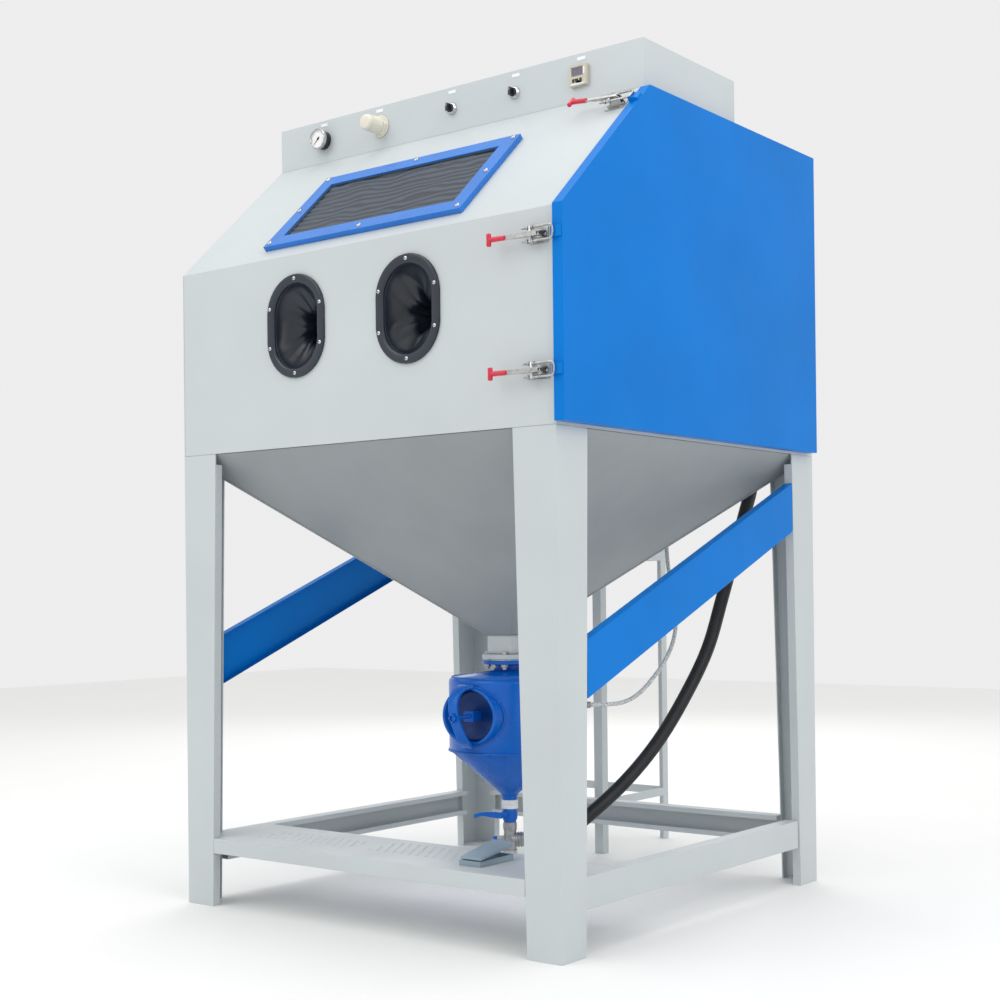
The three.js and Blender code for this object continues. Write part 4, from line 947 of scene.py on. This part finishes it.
def pot():
    shell = Build(pot_blue)
    shell.turn(pot_profile(), POT_AXIS, 0, 96)
    body = shell.piece("pot_body", "cabinet", "pot_blue", ("pot_shell",), angle=35)
    cutter = Build(pot_blue)
    cutter.turn([(0, 60), (1, 60), (1, 230), (0, 230)], POT_FRONT @ Matrix.Diagonal((*HAND_INNER, 1, 1)), 0, 64)
    tool = add_object("hand_hole_cutter", cutter.mesh("hand_hole_cutter"))
    hole = body.modifiers.new("hand_hole", "BOOLEAN")
    hole.object, hole.operation, hole.solver = tool, "DIFFERENCE", "EXACT"
    graph = bpy.context.evaluated_depsgraph_get()
    cut_mesh = bpy.data.meshes.new_from_object(body.evaluated_get(graph))
    body.modifiers.clear()
    body.data = cut_mesh
    body.data.set_sharp_from_angle(angle=math.radians(35))
    bpy.data.objects.remove(tool)

    extras = Build(pot_blue)
    mouth = HAND_INNER[0] / HAND_OUTER[0]
    ring = [(1, 100), (1, 171), (0.985, 172), (mouth + 0.01, 172), (mouth, 171), (mouth, 100), (1, 100)]
    extras.turn(ring, POT_FRONT @ Matrix.Diagonal((*HAND_OUTER, 1, 1)), 0, 80)
    weld = []
    for i in range(WELD_STEPS + 1):
        a = 2 * math.pi * i / WELD_STEPS
        x, z = (HAND_OUTER[0] + 1) * math.cos(a), (HAND_OUTER[1] + 1) * math.sin(a)
        weld.append((x, z, math.sqrt(POT["r"] ** 2 - x * x) + 1))
    weld_radii = [3.4 + (0.5 if i % 2 else -0.5) for i in range(WELD_STEPS + 1)]
    extras.sweep(weld, weld_radii, POT_FRONT, sides=8, caps=False)
    for radius, height, bead_r in ((POT["r"], POT["seam"], 3), (POT["r"] - 10, POT["shoulder"] + 3, 2.6),
                                   (36, POT["shoulder"] + 22, 2.6), (36, POT["flange_top"] - 11, 2.2),
                                   (21, POT["outlet"] + 13, 2.4)):
        count = max(24, int(2 * math.pi * radius / 3.2) // 2 * 2)
        radii = [bead_r + (0.4 if i % 2 else -0.4) for i in range(count + 1)]
        extras.sweep(ring_points(radius, height, count), radii, POT_AXIS, sides=8, caps=False)
    diagonal = Vector((1, 1, 0)).normalized()
    stub = basis(0, MID_Y, 495, diagonal.cross(Z), Z, diagonal)
    extras.turn([(0, 155), (9, 155), (9, 198), (11, 198), (11, 205), (0, 205)], stub, 0, 24)
    extras.turn([(8.5, 157), (13, 158), (12, 161), (8.5, 163), (8.5, 157)], stub, 0, 24)
    extras.piece("pot_welds", "cabinet", "pot_blue", angle=50)


def hand_hole():
    """A dished cover held from outside by a strap yoke and a square nut."""
    build = Build(pot_blue, shaded_lid_blue)
    dish = [(0, 134), (0.3, 135), (0.62, 140), (0.82, 147), (0.96, 148), (1, 147), (1, 142), (0.9, 141),
            (0, 130)]
    # The cover dish takes the darker blue: painted shade of its recess inside the ring.
    build.turn(dish, POT_FRONT @ Matrix.Diagonal((78, 65, 1, 1)), 1, 64)
    build.prism(rounded_box(-16, -14, 16, 14, 4), 134, 172, POT_FRONT)
    count = 60
    thread = [(0, 0, 150 + 86 * i / count) for i in range(count + 1)]
    build.sweep(thread, [6.0 if i % 2 else 5.3 for i in range(count + 1)], POT_FRONT, sides=16)
    build.piece("hand_hole_lid", "cabinet", "pot_blue", ("hand_hole_cover",), bevel=0.6)
    yoke = Build(pot_blue)
    steps, thick = 40, 12
    rings = []
    for i in range(steps + 1):
        t = i / steps
        angle = math.pi * t
        depth, z = 172.4 + 44 * math.sin(angle), -72 * math.cos(angle)
        shift = 11 * math.sin(2 * math.pi * t) - 4 * math.sin(angle)
        half = 19 - 5 * math.sin(angle)
        lean = Vector((math.sin(angle), -math.cos(angle)))  # outwards and up
        section = rounded_box(-half, 0, half, thick, 3, 3)
        rings.append([(x + shift, z + out * lean.y * 0.9, depth + out * max(0.25, lean.x)) for x, out in section])
    made = add_loft(yoke, rings, POT_FRONT)
    yoke.bm.faces.new(made[0][::-1])
    yoke.bm.faces.new(made[-1])
    yoke.piece("hand_hole_strap", "cabinet", "pot_blue", ("hand_hole_yoke",), angle=60)
    refine("hand_hole_nut", 1.2, material=pot_blue)


def pot_fittings():
    valve = Build(pot_blue, white_plastic, zinc)
    collar = [(0, 222), (21, 222), (22, 223), (22, 233), (20.5, 234), (22, 235), (22, 245), (21, 245.6),
              (0, 245.6)]
    valve.turn(collar, POT_AXIS, 1, 40)
    valve.turn([(0, 186), (16, 186), (17, 187), (17, 190), (19.4, 193), (20.4, 198), (20.4, 214), (19, 220),
                (18, 222.5), (0, 222.5)], POT_AXIS, 0, 40)
    stem = basis(0, MID_Y, 208, X, Z, -Y)
    valve.turn([(0, 10), (11, 10), (11, 26), (8.5, 28), (8, 30), (8, 43.6), (0, 43.6)], stem, 0, 28)
    valve.piece("grit_valve_body", "cabinet", "pot_blue", ("grit_valve",), angle=40)
    refine("grit_valve_lever", 1.4, material=pot_blue)
    tee = Build(cast_metal, zinc, pot_blue, black_plastic)
    tee.turn([(0, 96), (20, 96), (21, 97), (21, 111), (20, 112), (0, 112)], POT_AXIS, 1, 6)
    tee.turn([(0, 108), (17, 110), (18, 122), (16, 132), (17, 146), (16, 158), (18.5, 168), (18.5, 182),
              (17, 185.6), (0, 185.6)], POT_AXIS, 0, 36)
    to_hose = Vector((1, 1, 0)).normalized()
    branch = basis(0, MID_Y, 138, to_hose.cross(Z), Z, to_hose)
    ribs = [(0, 0), (19, 2)]
    for i in range(5):
        z = 12 + i * 8
        ribs += [(18.5, z), (20.5, z + 1.5), (20.5, z + 4), (18.5, z + 5.5)]
    ribs += [(22, 53), (22, 68), (20.8, 70), (0, 70)]
    tee.turn(ribs, branch, 0, 36)
    to_fitting = Vector((-40, -24, 0)).normalized()
    inlet = basis(0, MID_Y, 138, to_fitting.cross(Z), Z, to_fitting)
    tee.turn([(0, 4), (11.4, 6), (11.4, 34), (0, 34)], inlet, 0, 6)
    tee.turn([(0, 33), (9, 33), (9.6, 34), (9.6, 43), (8.6, 45), (6, 45.4), (0, 45.4)], inlet, 2, 28)
    tee.piece("mixing_body", "cabinet", "zinc", ("mixing_tee",), angle=38)


pot()
hand_hole()
pot_fittings()

# ---- Step plate -----------------------------------------------------------------------------
def step_dimples():
    """Clusters of small raised dots pressed through the step plate for grip."""
    build = Build(grey_paint)
    for x0, y0, columns, rows in ((-424, 91, 12, 5), (-54, 104, 11, 6)):
        for i in range(columns):
            for j in range(rows):
                x = x0 + i * 26 + (13 if j % 2 else 0)
                y = y0 + j * 22
                here = basis(x, y, STEP_Z, X, Y, Z)
                build.turn([(0, 2.0), (2.2, 1.7), (4.2, 0.8), (5.2, 0), (0, -0.4)], here, 0, 14)
    build.piece("step_dimples", "cabinet", "grey_paint", angle=60)


step_dimples()

# ---- Dust collector -------------------------------------------------------------------------
COLLECTOR_X, COLLECTOR_Y = -580, 1412


def collector_side():
    """The collector's filter door and dust drawer, on its outer side."""
    build = Build(grey_paint, black_plastic, zinc)
    door_here = basis(COLLECTOR_X, COLLECTOR_Y, 1525, -Y, Z, -X)
    build.prism(rounded_box(-155, -330, 155, 330, 8), 0.2, 4.5, door_here)
    build.prism(rounded_box(-135, -310, 135, 310, 8), 4, 6, door_here)
    for z in (-240, 0, 240):
        build.turn([(0, 5), (14, 5), (13, 9), (6, 10), (6, 14), (12, 15), (12, 17), (0, 17.5)],
                   door_here @ Matrix.Translation((-118, z, 0)), 1, 32)
        build.sweep([(148, z - 30, 4), (148, z + 30, 4)], 4.5, door_here, 2, 16)
    drawer_here = basis(COLLECTOR_X, COLLECTOR_Y, 1040, -Y, Z, -X)
    build.prism(rounded_box(-155, -75, 155, 75, 6), 0.2, 5, drawer_here)
    grip = [(-50, 10, 4), (-50, 10, 12), (-46, 10, 15), (46, 10, 15), (50, 10, 12), (50, 10, 4)]
    build.sweep(grip, 3, drawer_here, 1, 14)
    for x in (-140, 140):
        for y in (-60, 60):
            add_screw(build, drawer_here @ Matrix.Translation((x, y, 5)), 4, 2.4, 1)
    build.piece("collector_panels", "cabinet", "grey_paint", bevel=1.0, angle=45)


collector_side()


# ---- Room and light --------------------------------------------------------------------
FLOOR_HALF, FLOOR_THICK = 9000, 20


def make_room():
    slab = Build().block((-FLOOR_HALF, -FLOOR_HALF, -FLOOR_THICK), (FLOOR_HALF, FLOOR_HALF, 0)).mesh("floor")
    slab.materials.append(finish("floor", linear(243, 243, 242), 0.75, 0.005))
    slab.set_sharp_from_angle(angle=math.radians(40))
    add_object("floor", slab)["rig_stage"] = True
    world = bpy.data.worlds.new("studio")
    world.use_nodes = True
    sky = world.node_tree.nodes["Background"]
    sky.inputs["Color"].default_value = (1, 1, 1, 1)
    sky.inputs["Strength"].default_value = 0.85
    bpy.context.scene.world = world
    bpy.context.scene.view_settings.view_transform = "Standard"


LIGHTS = [  # name, place in mm, aim in mm, size in m, power in W
    ("key", (-1200, -3400, 4600), (0, 300, 1300), 3.2, 60),
    ("door_side", (4200, -600, 3400), (300, 600, 1200), 3.0, 45),
    ("top", (200, 700, 5600), (0, 600, 1800), 3.6, 60),
    ("back", (-2600, 4600, 3200), (0, 900, 1200), 3.0, 40),
]


def make_lights():
    for name, place_mm, aim_mm, size, power in LIGHTS:
        light = bpy.data.lights.new(name, "AREA")
        light.size, light.energy = size, power
        lamp = add_object(name, light)
        lamp.location = at(*place_mm)
        lamp.rotation_euler = (at(*aim_mm) - at(*place_mm)).to_track_quat("-Z", "Y").to_euler()


make_room()
make_lights()

boxes = {"cad": CAD_BOX, "visual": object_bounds()}
{key: [list(corner) for corner in box] for key, box in boxes.items()}
